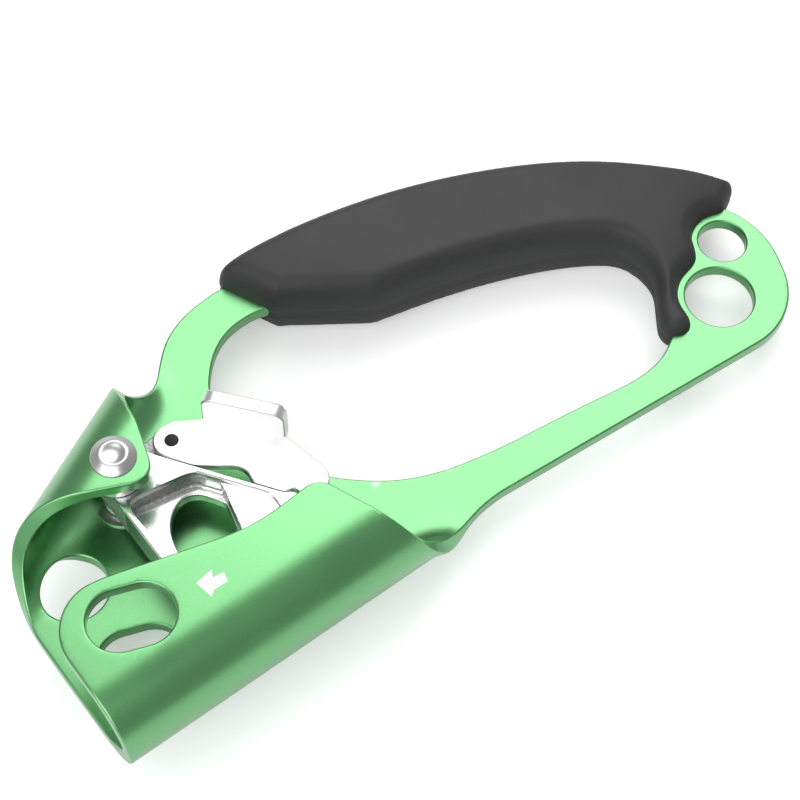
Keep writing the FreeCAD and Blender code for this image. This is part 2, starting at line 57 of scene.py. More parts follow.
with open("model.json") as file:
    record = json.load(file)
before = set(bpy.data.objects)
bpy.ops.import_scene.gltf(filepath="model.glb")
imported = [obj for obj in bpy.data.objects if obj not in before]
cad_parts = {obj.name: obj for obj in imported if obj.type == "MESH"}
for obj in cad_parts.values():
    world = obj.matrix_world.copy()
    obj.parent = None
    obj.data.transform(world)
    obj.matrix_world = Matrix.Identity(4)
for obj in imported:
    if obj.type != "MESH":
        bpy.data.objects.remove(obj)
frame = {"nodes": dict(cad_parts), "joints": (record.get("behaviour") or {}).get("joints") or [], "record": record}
cad_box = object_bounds()

# Sizes below are in millimetres in the row frame. MM turns them into metres when a mesh is made.
MM = 0.001
MOUNTS = {mount["name"]: mount for mount in frame["record"]["mounts"]}
JOINTS = {joint["name"]: joint for joint in frame["joints"]}


def mount_centre(name):
    """Plan position of a mount, in millimetres."""
    return np.array(MOUNTS[name]["pos_m"][:2]) / MM


def mount_radius(name):
    """Radius of a round mount, in millimetres."""
    return MOUNTS[name]["dims"]["r_mm"]


def joint_centre(name):
    """Plan position of a hinge, in millimetres."""
    return np.array(JOINTS[name]["pos_m"][:2]) / MM


def level(node, top):
    """Lowest or highest level of a CAD node, in millimetres."""
    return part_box(node)[1 if top else 0].z / MM


PLATE = MOUNTS["attach_hole"]["dims"]["length_mm"]
MID_Z = JOINTS["cam_pivot"]["pos_m"][2] / MM
AXLE = joint_centre("cam_pivot")
CATCH_PIN = joint_centre("catch_pivot")
FRONT_Z = 2 * MID_Z
HEAD_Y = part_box("frame")[1].y / MM
CAM_BACK_Z = level("cam", False)
CAM_FRONT_Z = level("cam", True)
CATCH_FRONT_Z = level("catch_pin", True)
TAB_TOP_Z = level("safety_catch", True)
CATCH_BACK_Z = level("safety_catch", False)

BEND_RADIUS = MID_Z - PLATE / 2
BEND_LENGTH = math.pi * BEND_RADIUS
CHANNEL_X = -3.5
EAR_LEAN = math.radians(26.3)
EAR_FOLD = np.array((47.0, 132.8))
EAR_ALONG = np.array((-math.sin(EAR_LEAN), math.cos(EAR_LEAN)))
EAR_OUT = np.array((math.cos(EAR_LEAN), math.sin(EAR_LEAN)))


# ------------------------------------------------------------------ outlines in plan

def straight(start, stop, gap):
    """Points start + t (stop - start), t from 0 up to but not at 1."""
    count = max(1, int(np.linalg.norm(stop - start) / gap))
    share = np.arange(count)[:, None] / count
    return start + share * (stop - start)


def arc(start, middle, stop, gap):
    """Points of the circle through three points, centre where their two perpendicular bisectors meet."""
    lean = 2 * np.array((middle - start, stop - start))
    size = np.array((middle @ middle - start @ start, stop @ stop - start @ start))
    centre = np.linalg.solve(lean, size)
    radius = np.linalg.norm(start - centre)
    turns = [math.atan2(*(point - centre)[::-1]) for point in (start, middle, stop)]
    whole = 2 * math.pi
    sweep = (turns[2] - turns[0]) % whole
    if (turns[1] - turns[0]) % whole > sweep:
        sweep -= whole
    count = max(2, int(abs(sweep) * radius / gap))
    turn = turns[0] + sweep * np.arange(count) / count
    return centre + radius * np.stack((np.cos(turn), np.sin(turn)), 1)


def curve(points, gap):
    """Natural cubic spline through the points, its parameter the length of the chords between them.

    The second derivatives m solve h0 m0 + 2 (h0 + h1) m1 + h1 m2 = 6 (slope1 - slope0)."""
    points = np.array(points, float)
    chord = np.linalg.norm(np.diff(points, axis=0), axis=1)
    knots = np.concatenate(([0], np.cumsum(chord)))
    slopes = np.diff(points, axis=0) / chord[:, None]
    size = len(points)
    matrix = np.eye(size)
    inner = np.arange(1, size - 1)
    matrix[inner, inner - 1] = chord[:-1]
    matrix[inner, inner] = 2 * (chord[:-1] + chord[1:])
    matrix[inner, inner + 1] = chord[1:]
    right = np.zeros((size, 2))
    right[1:-1] = 6 * np.diff(slopes, axis=0)
    second = np.linalg.solve(matrix, right)
    place = np.arange(0, knots[-1], gap)
    span = np.clip(np.searchsorted(knots, place, side="right") - 1, 0, size - 2)
    width = chord[span][:, None]
    low = (place - knots[span])[:, None] / width
    high = 1 - low
    bow = (low ** 3 - low) * second[span + 1] + (high ** 3 - high) * second[span]
    return high * points[span] + low * points[span + 1] + bow * width ** 2 / 6


def trace(start, steps, gap=0.3):
    """Closed outline from steps ("line", p), ("arc", middle, p) and ("curve", p, p, ...)."""
    here = np.array(start, float)
    pieces = []
    for kind, *points in steps:
        points = [np.array(point, float) for point in points]
        if kind == "line":
            pieces.append(straight(here, points[-1], gap))
        elif kind == "arc":
            pieces.append(arc(here, points[0], points[1], gap))
        else:
            pieces.append(curve([here] + points, gap))
        here = points[-1]
    pieces.append(straight(here, np.array(start, float), gap))
    return np.concatenate(pieces)


def even(loop, gap, soften=0):
    """Closed loop with even spacing. Softening moves each point to a quarter, half, quarter mean."""
    closed = np.concatenate((loop, loop[:1]))
    reach = np.concatenate(([0], np.cumsum(np.linalg.norm(np.diff(closed, axis=0), axis=1))))
    count = max(12, int(round(reach[-1] / gap)))
    place = reach[-1] * np.arange(count) / count
    loop = np.stack([np.interp(place, reach, closed[:, axis]) for axis in (0, 1)], 1)
    for _ in range(soften):
        loop = (np.roll(loop, 1, 0) + 2 * loop + np.roll(loop, -1, 0)) / 4
    return loop


def circle(centre, radius, gap):
    """Closed circle: centre + radius (cos t, sin t)."""
    turn = 2 * math.pi * np.arange(max(24, int(2 * math.pi * radius / gap)))
    turn = turn / len(turn)
    return np.array(centre) + radius * np.stack((np.cos(turn), np.sin(turn)), 1)


def facing(loop, inward):
    """Loop turned so that the solid is on its left: an outer loop runs anticlockwise, a hole clockwise."""
    x, y = loop.T
    area = np.sum(x * np.roll(y, -1) - y * np.roll(x, -1))
    return loop if (area > 0) == inward else loop[::-1]


def left_normals(loop):
    """Unit normals towards the solid: the central difference turned a quarter to the left."""
    way = np.roll(loop, -1, 0) - np.roll(loop, 1, 0)
    way /= np.linalg.norm(way, axis=1)[:, None]
    return np.stack((-way[:, 1], way[:, 0]), 1)


def inside(points, loops):
    """True where a point lies in the solid: rays towards +X cross the loops an odd number of times."""
    odd = np.zeros(len(points), bool)
    for loop in loops:
        ax, ay = loop.T
        bx, by = np.roll(loop, -1, 0).T
        for part in np.array_split(np.arange(len(points)), max(1, len(points) // 2000)):
            x, y = points[part].T
            across = (ay[None] > y[:, None]) != (by[None] > y[:, None])
            rise = np.where(by == ay, 1e-12, by - ay)
            hit = ax[None] + (y[:, None] - ay[None]) * (bx - ax)[None] / rise[None]
            odd[part] ^= (np.sum(across & (hit > x[:, None]), 1) % 2).astype(bool)
    return odd


def edge_distance(points, loops):
    """Distance from each point to the nearest point of the loops."""
    rim = np.concatenate(loops)
    near = np.empty(len(points))
    for part in np.array_split(np.arange(len(points)), max(1, len(points) // 1000)):
        gap = points[part][:, None] - rim[None]
        near[part] = np.sqrt(np.min(np.sum(gap ** 2, 2), 1))
    return near


# ------------------------------------------------------------------ surfaces

def skin(loops, gap):
    """Flat sheet inside the loops: Delaunay triangles over the loops' points and an even grid."""
    rim = np.concatenate(loops)
    low = rim.min(0)
    high = rim.max(0)
    columns = np.arange(low[0] + gap / 2, high[0], gap)
    rows = np.arange(low[1] + gap / 2, high[1], gap)
    grid = np.stack(np.meshgrid(columns, rows), 2).reshape(-1, 2)
    grid = grid[inside(grid, loops)]
    grid = grid[edge_distance(grid, loops) > 0.55 * gap]
    points = np.concatenate((rim, grid))
    edges = []
    base = 0
    for loop in loops:
        index = np.arange(len(loop))
        edges.append(np.stack((base + index, base + (index + 1) % len(loop)), 1))
        base += len(loop)
    edges = np.concatenate(edges).tolist()
    found = delaunay_2d_cdt([Vector(point) for point in points.tolist()], edges, [], 0, 1e-7)
    if len(found[0]) != len(points):
        raise RuntimeError("the outline crosses itself")
    source = np.array([origin[0] for origin in found[3]])
    triangles = source[np.array([face for face in found[2] if len(face) == 3])]
    a, b, c = (points[triangles[:, corner]] for corner in range(3))
    triangles = triangles[inside((a + b + c) / 3, loops)]
    a, b, c = (points[triangles[:, corner]] for corner in range(3))
    cross = (b - a)[:, 0] * (c - a)[:, 1] - (b - a)[:, 1] * (c - a)[:, 0]
    triangles[cross < 0] = triangles[cross < 0][:, ::-1]
    return grid, triangles[np.abs(cross) > 1e-9]


def slab(loops, rows, gap):
    """Closed slab. Each loop is swept down its rows (inset, level), and two skins close it.

    A swept point is loop + inset times its normal towards the solid. All loops share one list of rows
    or have one each. Returns points (x, y, level) and triangles, the top skin's grid points last but one
    block, the bottom skin's last."""
    if not isinstance(rows, list):
        rows = [rows] * len(loops)
    loops = [facing(loop, index == 0) for index, loop in enumerate(loops)]
    normals = [left_normals(loop) for loop in loops]
    points = []
    triangles = []
    first = []
    last = []
    base = 0
    for loop, normal, own in zip(loops, normals, rows):
        plan = loop[None] + own[:, 0][:, None, None] * normal[None]
        height = np.broadcast_to(own[:, 1][:, None, None], plan.shape[:2] + (1,))
        points.append(np.concatenate((plan, height), 2).reshape(-1, 3))
        size = len(loop)
        turn = np.arange(size)
        step = np.arange(len(own) - 1)[:, None]
        a = base + step * size + turn
        b = a + size
        c = base + (step + 1) * size + (turn + 1) % size
        d = base + step * size + (turn + 1) % size
        triangles += [np.stack((a, b, c), 2).reshape(-1, 3), np.stack((a, c, d), 2).reshape(-1, 3)]
        first.append(base + turn)
        last.append(base + (len(own) - 1) * size + turn)
        base += len(own) * size
    sheets = {}
    for row, rims, flip in ((0, first, False), (-1, last, True)):
        insets = tuple(own[row, 0] for own in rows)
        if insets not in sheets:
            flats = [loop + inset * normal for loop, inset, normal in zip(loops, insets, normals)]
            sheets[insets] = skin(flats, gap)
        grid, faces = sheets[insets]
        index = np.concatenate(rims + [base + np.arange(len(grid))])
        heights = np.full((len(grid), 1), np.mean([own[row, 1] for own in rows]))
        points.append(np.concatenate((grid, heights), 1))
        faces = index[faces]
        triangles.append(faces[:, ::-1] if flip else faces)
        base += len(grid)
    return np.concatenate(points), np.concatenate(triangles)


def rounded_rows(bottom, top, radius, count=4):
    """Rows for a wall with round edges: inset r (1 - sin t) and level top - r (1 - cos t), then mirrored."""
    turn = np.linspace(0, math.pi / 2, count + 1)
    inset = radius * (1 - np.sin(turn))
    drop = radius * (1 - np.cos(turn))
    upper = np.stack((inset, top - drop), 1)
    lower = np.stack((inset, bottom + drop), 1)[::-1]
    return np.concatenate((upper, lower))


def lathe(profile, centre, count=96):
    """Profile (radius, level) turned about a +Z axis: x = r cos t, y = r sin t.

    The profile starts and ends on the axis."""
    turn = 2 * math.pi * np.arange(count) / count
    ring = np.stack((np.cos(turn), np.sin(turn)), 1)
    body = profile[1:-1]
    plan = np.array(centre) + body[:, 0][:, None, None] * ring[None]
    height = np.broadcast_to(body[:, 1][:, None, None], plan.shape[:2] + (1,))
    points = np.concatenate((plan, height), 2).reshape(-1, 3)
    poles = np.array([[*centre, profile[0, 1]], [*centre, profile[-1, 1]]])
    step = np.arange(len(body) - 1)[:, None] * count
    index = np.arange(count)
    following = (index + 1) % count
    a, b, c, d = step + index, step + count + index, step + count + following, step + following
    faces = [np.stack((a, b, c), 2).reshape(-1, 3), np.stack((a, c, d), 2).reshape(-1, 3)]
    top = len(points)
    faces.append(np.stack((np.full(count, top), index, following), 1))
    end = (len(body) - 1) * count
    faces.append(np.stack((np.full(count, top + 1), end + following, end + index), 1))
    return np.concatenate((points, poles)), np.concatenate(faces)


def join(parts):
    """Several closed shells as one list of points and one of triangles."""
    base = 0
    faces = []
    for points, triangles in parts:
        faces.append(triangles + base)
        base += len(points)
    return np.concatenate([points for points, _ in parts]), np.concatenate(faces)


def make_piece(name, points, triangles, material, body, replaced=(), sharp=38.0):
    """Mesh object at the origin from points in millimetres, with smooth faces that ride on a body."""
    mesh = bpy.data.meshes.new(name)
    mesh.vertices.add(len(points))
    mesh.vertices.foreach_set("co", (points * MM).astype(np.float32).ravel())
    mesh.loops.add(3 * len(triangles))
    mesh.loops.foreach_set("vertex_index", triangles.astype(np.int32).ravel())
    mesh.polygons.add(len(triangles))
    mesh.polygons.foreach_set("loop_start", np.arange(0, 3 * len(triangles), 3, dtype=np.int32))
    mesh.polygons.foreach_set("use_smooth", np.ones(len(triangles), bool))
    mesh.update(calc_edges=True)
    if mesh.validate():
        raise RuntimeError("%s has faulty faces" % name)
    mesh.set_sharp_from_angle(angle=math.radians(sharp))
    mesh.materials.append(material)
    piece = bpy.data.objects.new(name, mesh)
    bpy.context.scene.collection.objects.link(piece)
    weighted = piece.modifiers.new("flat faces stay flat", "WEIGHTED_NORMAL")
    weighted.keep_sharp = True
    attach(piece, body)
    if replaced:
        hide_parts(*replaced)
    return piece


# ------------------------------------------------------------------ shared shader groups

def node(tree, kind, place, **values):
    """New shader node with its properties set."""
    item = tree.nodes.new(kind)
    item.location = place
    for key, value in values.items():
        setattr(item, key, value)
    return item


def new_group(name, inputs, outputs):
    """Empty shader node group with named float, colour or vector sockets."""
    tree = bpy.data.node_groups.new(name, "ShaderNodeTree")
    for label, kind, default in inputs:
        socket = tree.interface.new_socket(name=label, in_out="INPUT", socket_type=kind)
        if default is not None:
            socket.default_value = default
    for label, kind in outputs:
        tree.interface.new_socket(name=label, in_out="OUTPUT", socket_type=kind)
    return tree, node(tree, "NodeGroupInput", (-900, 0)), node(tree, "NodeGroupOutput", (600, 0))


def math_node(tree, operation, values, place, clamp=False):
    """Math node whose two or three values are sockets or numbers."""
    item = node(tree, "ShaderNodeMath", place, operation=operation, use_clamp=clamp)
    for socket, value in zip(item.inputs, values):
        if isinstance(value, bpy.types.NodeSocket):
            tree.links.new(value, socket)
        else:
            socket.default_value = value
    return item.outputs[0]


def grain_group():
    """Fine grain and slow cloud on Object coordinates: a height for bump, and a mask from 0 to 1."""
    tree, given, result = new_group(
        "surface grain",
        [("Scale", "NodeSocketFloat", 2500.0), ("Cloud scale", "NodeSocketFloat", 60.0),
         ("Cloud share", "NodeSocketFloat", 0.3)],
        [("Height", "NodeSocketFloat"), ("Mask", "NodeSocketFloat"), ("Cloud", "NodeSocketFloat")])
    place = node(tree, "ShaderNodeTexCoord", (-900, 300))
    fine = node(tree, "ShaderNodeTexNoise", (-600, 200))
    fine.inputs["Detail"].default_value = 2.0
    fine.inputs["Roughness"].default_value = 0.6
    cloud = node(tree, "ShaderNodeTexNoise", (-600, -100))
    cloud.inputs["Detail"].default_value = 4.0
    tree.links.new(place.outputs["Object"], fine.inputs["Vector"])
    tree.links.new(place.outputs["Object"], cloud.inputs["Vector"])
    tree.links.new(given.outputs["Scale"], fine.inputs["Scale"])
    tree.links.new(given.outputs["Cloud scale"], cloud.inputs["Scale"])
    share = given.outputs["Cloud share"]
    rest = math_node(tree, "SUBTRACT", (1.0, share), (-400, 100))
    fine_part = math_node(tree, "MULTIPLY", (fine.outputs["Fac"], rest), (-200, 200))
    cloud_part = math_node(tree, "MULTIPLY", (cloud.outputs["Fac"], share), (-200, 0))
    tree.links.new(fine.outputs["Fac"], result.inputs["Height"])
    tree.links.new(math_node(tree, "ADD", (fine_part, cloud_part), (0, 100)), result.inputs["Mask"])
    tree.links.new(cloud.outputs["Fac"], result.inputs["Cloud"])
    return tree


# Gain and offset of the noise that breaks up the painted edge highlight.
BREAK_GAIN = 2.4
BREAK_OFFSET = -0.7


def edge_highlight_group():
    """Mask of a painted highlight on the edges: the surface's pointiness above a threshold, broken up by noise."""
    tree, given, result = new_group(
        "painted edge highlight",
        [("Threshold", "NodeSocketFloat", 0.53), ("Width", "NodeSocketFloat", 0.06),
         ("Break scale", "NodeSocketFloat", 300.0)],
        [("Mask", "NodeSocketFloat")])
    place = node(tree, "ShaderNodeTexCoord", (-900, 300))
    shape = node(tree, "ShaderNodeNewGeometry", (-900, -200))
    noise = node(tree, "ShaderNodeTexNoise", (-600, 200))
    noise.inputs["Detail"].default_value = 3.0
    tree.links.new(place.outputs["Object"], noise.inputs["Vector"])
    tree.links.new(given.outputs["Break scale"], noise.inputs["Scale"])
    values = (shape.outputs["Pointiness"], given.outputs["Threshold"])
    over = math_node(tree, "SUBTRACT", values, (-600, -200))
    edge = math_node(tree, "DIVIDE", (over, given.outputs["Width"]), (-400, -200), clamp=True)
    values = (noise.outputs["Fac"], BREAK_GAIN, BREAK_OFFSET)
    broken = math_node(tree, "MULTIPLY_ADD", values, (-400, 200), clamp=True)
    tree.links.new(math_node(tree, "MULTIPLY", (edge, broken), (0, 0)), result.inputs["Mask"])
    return tree


# Noise seldom leaves this range.
NOISE_LOW = 0.3
NOISE_HIGH = 0.7


class Finish:
    """Builder of one material: a Principled shader with grain, colour range and bump."""

    def __init__(self, name):
        self.material = bpy.data.materials.new(name)
        self.material.use_nodes = True
        self.tree = self.material.node_tree
        self.shader = self.tree.nodes["Principled BSDF"]

    def set(self, **values):
        """Plain values on the shader's own sockets."""
        for key, value in values.items():
            self.shader.inputs[key.replace("_", " ")].default_value = value

    def group(self, tree, place, **values):
        """Shared group placed in this material with its own values."""
        item = node(self.tree, "ShaderNodeGroup", place, node_tree=tree)
        for key, value in values.items():
            item.inputs[key.replace("_", " ")].default_value = value
        return item

    def link(self, start, stop):
        """Link between two sockets."""
        self.tree.links.new(start, stop)

    def feed(self, label, socket):
        """Link from a socket to one of the shader's inputs."""
        self.link(socket, self.shader.inputs[label])

    def spread(self, factor, low, high, place):
        """Value between low and high by a factor."""
        item = node(self.tree, "ShaderNodeMapRange", place)
        limits = (("From Min", NOISE_LOW), ("From Max", NOISE_HIGH), ("To Min", low), ("To Max", high))
        for label, value in limits:
            item.inputs[label].default_value = value
        self.link(factor, item.inputs["Value"])
        return item.outputs["Result"]

    def blend(self, factor, first, second, place):
        """Colour between two colours or sockets by a factor."""
        item = node(self.tree, "ShaderNodeMix", place, data_type="RGBA")
        for socket, value in ((item.inputs[6], first), (item.inputs[7], second)):
            if isinstance(value, bpy.types.NodeSocket):
                self.link(value, socket)
            else:
                socket.default_value = (*value, 1.0)
        self.link(factor, item.inputs[0])
        return item.outputs[2]

    def rough(self, factor, low, high, place=(-600, -50)):
        """Roughness between low and high by a factor."""
        self.feed("Roughness", self.spread(factor, low, high, place))

    def bump(self, height, distance, strength, place=(-300, -300)):
        """Bump with a height of this distance in metres."""
        item = node(self.tree, "ShaderNodeBump", place)
        item.inputs["Distance"].default_value = distance
        item.inputs["Strength"].default_value = strength
        self.link(height, item.inputs["Height"])
        self.feed("Normal", item.outputs["Normal"])


def scaled(colour, factor):
    """Colour made darker or lighter, up to white."""
    return tuple(min(1.0, value * factor) for value in colour)


def anodised_finish(groups, colour):
    """Green anodised, bead-blasted aluminium: sparkle in tone and bump, clear oxide, and a painted highlight that
    makes the edges paler.
    """
    finish = Finish("green_anodised_aluminium")
    finish.set(Metallic=1.0, Coat_Weight=1.0, Coat_Roughness=0.3, Coat_IOR=1.78)
    grain = finish.group(groups["grain"], (-900, 100), Scale=3200.0, Cloud_scale=45.0, Cloud_share=0.3)
    edge_highlight = finish.group(groups["edge_highlight"], (-900, -200), Threshold=0.535, Width=0.07, Break_scale=220.0)
    tone = finish.blend(grain.outputs["Mask"], scaled(colour, 0.72), scaled(colour, 1.28), (-600, 200))
    # Paler green on the pointy edges: a painted highlight.
    highlight_tone = tuple(0.6 * value + 0.25 for value in colour)
    finish.feed("Base Color", finish.blend(edge_highlight.outputs["Mask"], tone, highlight_tone, (-350, 200)))
    finish.rough(grain.outputs["Cloud"], 0.30, 0.36)
    finish.bump(grain.outputs["Height"], 0.00003, 0.45)
    return finish.material


def rubber_finish(groups, colour):
    """Dark moulded rubber: fine matt texture, slow scuffs that are a little paler and rougher."""
    finish = Finish("dark_moulded_rubber")
    finish.set(Specular_IOR_Level=0.42)
    grain = finish.group(groups["grain"], (-900, 100), Scale=1500.0, Cloud_scale=38.0, Cloud_share=0.65)
    tone = finish.blend(grain.outputs["Mask"], scaled(colour, 0.80), scaled(colour, 1.28), (-600, 200))
    finish.feed("Base Color", tone)
    finish.rough(grain.outputs["Cloud"], 0.48, 0.62)
    finish.bump(grain.outputs["Height"], 0.00006, 0.45)
    return finish.material


def steel_finish(groups, name, colour, rough, grain_scale, bump, dark=0.82):
    """Plated or cast steel: bright metal with a grain of its own scale and slightly darker hollows."""
    finish = Finish(name)
    finish.set(Metallic=1.0)
    grain = finish.group(groups["grain"], (-900, 100), Scale=grain_scale, Cloud_scale=110.0, Cloud_share=0.5)
    tone = finish.blend(grain.outputs["Mask"], scaled(colour, dark), scaled(colour, 1.08), (-600, 200))
    finish.feed("Base Color", tone)
    finish.rough(grain.outputs["Cloud"], rough * 0.85, rough * 1.2)
    finish.bump(grain.outputs["Height"], bump, 0.5)
    return finish.material


def cast_finish(groups, colour):
    """Bright cast steel that is smooth where it was ground and grainy on the pocket's end wall."""
    finish = Finish("cast_cam_steel")
    finish.set(Metallic=1.0)
    grain = finish.group(groups["grain"], (-1200, 100), Scale=1400.0, Cloud_scale=160.0, Cloud_share=0.3)
    coarse = finish.group(groups["grain"], (-1200, -150), Scale=1500.0, Cloud_scale=500.0, Cloud_share=0.2)
    place = node(finish.tree, "ShaderNodeTexCoord", (-1500, -400))
    split = node(finish.tree, "ShaderNodeSeparateXYZ", (-1300, -400))
    finish.link(place.outputs["Object"], split.inputs[0])
    start = (CAST_PATCH_X - CAST_PATCH_SLOPE * CAST_PATCH_Y) * MM
    run = math_node(finish.tree, "MULTIPLY", (split.outputs["Y"], CAST_PATCH_SLOPE), (-1100, -400))
    across = math_node(finish.tree, "SUBTRACT", (split.outputs["X"], run), (-900, -400))
    over = math_node(finish.tree, "SUBTRACT", (across, start), (-700, -400))
    patch = math_node(finish.tree, "DIVIDE", (over, CAST_PATCH_FADE * MM), (-500, -400), clamp=True)
    top = (CAM_FRONT_Z - CAST_PATCH_DROP) * MM
    low = math_node(finish.tree, "LESS_THAN", (split.outputs["Z"], top), (-700, -550))
    patch = math_node(finish.tree, "MULTIPLY", (patch, low), (-300, -400))
    tone = finish.blend(grain.outputs["Mask"], scaled(colour, 0.86), scaled(colour, 1.08), (-900, 250))
    rough_tone = finish.blend(coarse.outputs["Height"], scaled(colour, 0.18), scaled(colour, 0.95), (-900, 0))
    finish.feed("Base Color", finish.blend(patch, tone, rough_tone, (-300, 250)))
    finish.rough(patch, 0.24, 0.5, (-300, 50))
    height = math_node(finish.tree, "MULTIPLY", (coarse.outputs["Height"], patch), (-500, -250))
    fine = math_node(finish.tree, "MULTIPLY_ADD", (grain.outputs["Height"], 0.12, height), (-300, -250))
    finish.bump(fine, 0.00016, 0.6, place=(-150, -250))
    return finish.material


def ink_finish(groups, colour):
    """White screen-printed ink, slightly uneven in tone."""
    finish = Finish("white_print_ink")
    grain = finish.group(groups["grain"], (-900, 100), Scale=2600.0, Cloud_scale=400.0, Cloud_share=0.5)
    tone = finish.blend(grain.outputs["Mask"], scaled(colour, 0.86), colour, (-600, 200))
    finish.feed("Base Color", tone)
    finish.rough(grain.outputs["Cloud"], 0.45, 0.6)
    finish.bump(grain.outputs["Height"], 0.00001, 0.4)
    return finish.material


FLOOR_LIFT = 0.36


def floor_finish(groups):
    """Pale matt paper for the floor, lit a little from below where it is seen directly."""
    finish = Finish("pale_floor")
    grain = finish.group(groups["grain"], (-900, 100), Scale=300.0, Cloud_scale=3.0, Cloud_share=0.5)
    tone = finish.blend(grain.outputs["Mask"], (0.93, 0.93, 0.935), (0.96, 0.96, 0.96), (-600, 200))
    finish.feed("Base Color", tone)
    finish.feed("Emission Color", tone)
    finish.set(Roughness=0.9, Specular_IOR_Level=0.1)
    ray = node(finish.tree, "ShaderNodeLightPath", (-600, -200))
    lift = math_node(finish.tree, "MULTIPLY", (ray.outputs["Is Camera Ray"], FLOOR_LIFT), (-300, -200))
    finish.feed("Emission Strength", lift)
    return finish.material


FINISHES = {}
BLACK_OXIDE = (0.03, 0.03, 0.033)
PRINT_WHITE = (0.93, 0.93, 0.92)


def finishes():
    """All finishes by name, made once."""
    if not FINISHES:
        look = bpy.context.scene.ascender
        steel = look.steel_colour
        turned = scaled(steel, 0.86)
        drawn = scaled(steel, 0.6)
        # The second group paints a highlight on pointy edges.
        groups = {"grain": grain_group(), "edge_highlight": edge_highlight_group()}
        FINISHES.update(
            plate=anodised_finish(groups, look.plate_colour),
            rubber=rubber_finish(groups, look.rubber_colour),
            cam=cast_finish(groups, steel),
            catch=steel_finish(groups, "satin_plated_steel", steel, 0.34, 2400.0, 0.00001, 0.92),
            rivet=steel_finish(groups, "turned_steel", turned, 0.3, 2800.0, 0.00001),
            spring=steel_finish(groups, "drawn_spring_wire", drawn, 0.3, 3000.0, 0.00001),
            black=steel_finish(groups, "black_oxide_steel", BLACK_OXIDE, 0.35, 1800.0, 0.00002, 0.5),
            ink=ink_finish(groups, PRINT_WHITE),
            floor=floor_finish(groups))
    return FINISHES


# ------------------------------------------------------------------ frame plate

CHANNEL_CUT_START = 91.7
CHANNEL_CUT_SLOPE = 0.495
CHANNEL_RAMP = (84.0, 101.0)
EAR_RAMP = (-20.0, -6.0)
SLOT_ENDS = (np.array((4.5, 162.7)), np.array((6.2, 167.4)))
SLOT_RADIUS = 7.2


def unfolded_front(x, y):
    """Place in the flat blank of a point on the channel's front wall: mirrored beyond the bend."""
    return np.array((2 * CHANNEL_X - BEND_LENGTH - x, y))


def unfolded_ear(x, y):
    """Place in the flat blank of a point on the ear's flat end."""
    rest = np.array((x, y)) - EAR_FOLD
    return ear_blank(BEND_LENGTH - rest @ EAR_OUT, rest @ EAR_ALONG)


def ear_blank(out, along):
    """Point of the blank at a distance beyond the ear's fold line and a distance along it."""
    return EAR_FOLD + along * EAR_ALONG + out * EAR_OUT


def channel_cut(out):
    """Foot-side edge of the channel in the blank, a straight slanted cut."""
    return np.array((CHANNEL_X - out, CHANNEL_CUT_START + CHANNEL_CUT_SLOPE * out))


def ear_low_edge(out):
    """Neck-side edge of the ear in the blank: along = 5.8 - 0.75 r + 0.0095 r^2.

    r is the length of bend that is left before the ear's flat end."""
    rest = BEND_LENGTH - out
    return ear_blank(out, 5.8 - 0.75 * rest + 0.0095 * rest ** 2)


def ear_high_edge(out):
    """Head-side edge of the ear in the blank: along = 26.2 + 0.835 r - 0.0014 r^2."""
    rest = BEND_LENGTH - out
    return ear_blank(out, 26.2 + 0.835 * rest - 0.0014 * rest ** 2)


def blank_outline():
    """Outer edge of the flat blank: long limb, channel, head, ear, neck, handle limb and foot."""
    ear_low = [ear_low_edge(out) for out in np.linspace(BEND_LENGTH, 14.0, 5)]
    ear_high = [ear_high_edge(out) for out in np.linspace(0.0, BEND_LENGTH, 5)]
    return trace((-15.4, 2), (
        ("line", (-10.1, 76)),
        ("curve", (-10.5, 82.0), (-11.6, 86.6), (-13.2, 90.6), (-15.2, 94.4), (-18.0, 97.8),
         channel_cut(17.5)),
        ("line", channel_cut(BEND_LENGTH)),
        ("line", unfolded_front(6.0, 112.9)),
        ("arc", unfolded_front(8.1, 115.0), unfolded_front(8.6, 118)),
        ("curve", unfolded_front(8.0, 126), unfolded_front(8.1, 132), unfolded_front(9.3, 139)),
        ("line", unfolded_front(16.6, 164.8)),
        ("line", unfolded_front(17.3, 169.0)),
        ("arc", unfolded_front(13.8, 177.5), unfolded_front(5.3, HEAD_Y)),
        ("line", (20.5, HEAD_Y)),
        ("curve", *ear_high),
        ("line", unfolded_ear(31.1, 146.8)),
        ("arc", unfolded_ear(31.5, 143.3), unfolded_ear(34.6, 141.0)),
        ("line", ear_low[0]),
        ("curve", *ear_low[1:], (60.6, 130.6), (60.2, 127.6), (61.3, 124.5), (64.1, 121.4)),
        ("curve", (69.4, 115.9), (73.2, 107.6), (74.4, 98)),
        ("curve", (73.4, 84), (69.5, 60), (63, 38), (54, 18), (43, 1), (30, -12), (16.9, -19.4)),
        ("arc", (8.0, -21.0), (-1.5, -18.8)),
        ("arc", (-11.4, -12.2), (-15.4, 2)),
    ))


def handle_opening():
    """Opening for the fingers, from the toe of the grip round to the neck."""
    return trace((1.5, 12.8), (
        ("curve", (-4.4, 22.2), (-5.5, 30.3), (-4.2, 41.5), (-2.0, 58), (-0.4, 70), (2.0, 81.7)),
        ("curve", (4.5, 88.6), (9.8, 97.6), (16.6, 105.2)),
        ("curve", (29, 113.2), (42, 116.6), (52.9, 114.4)),
        ("curve", (59.9, 108.0), (63.4, 100.4), (63.6, 93.6)),
        ("curve", (59.5, 79), (53.2, 60), (46.0, 41), (37.4, 20.4)),
        ("curve", (28.0, 9.4), (14.6, 7.6), (1.5, 12.8)),
    ))


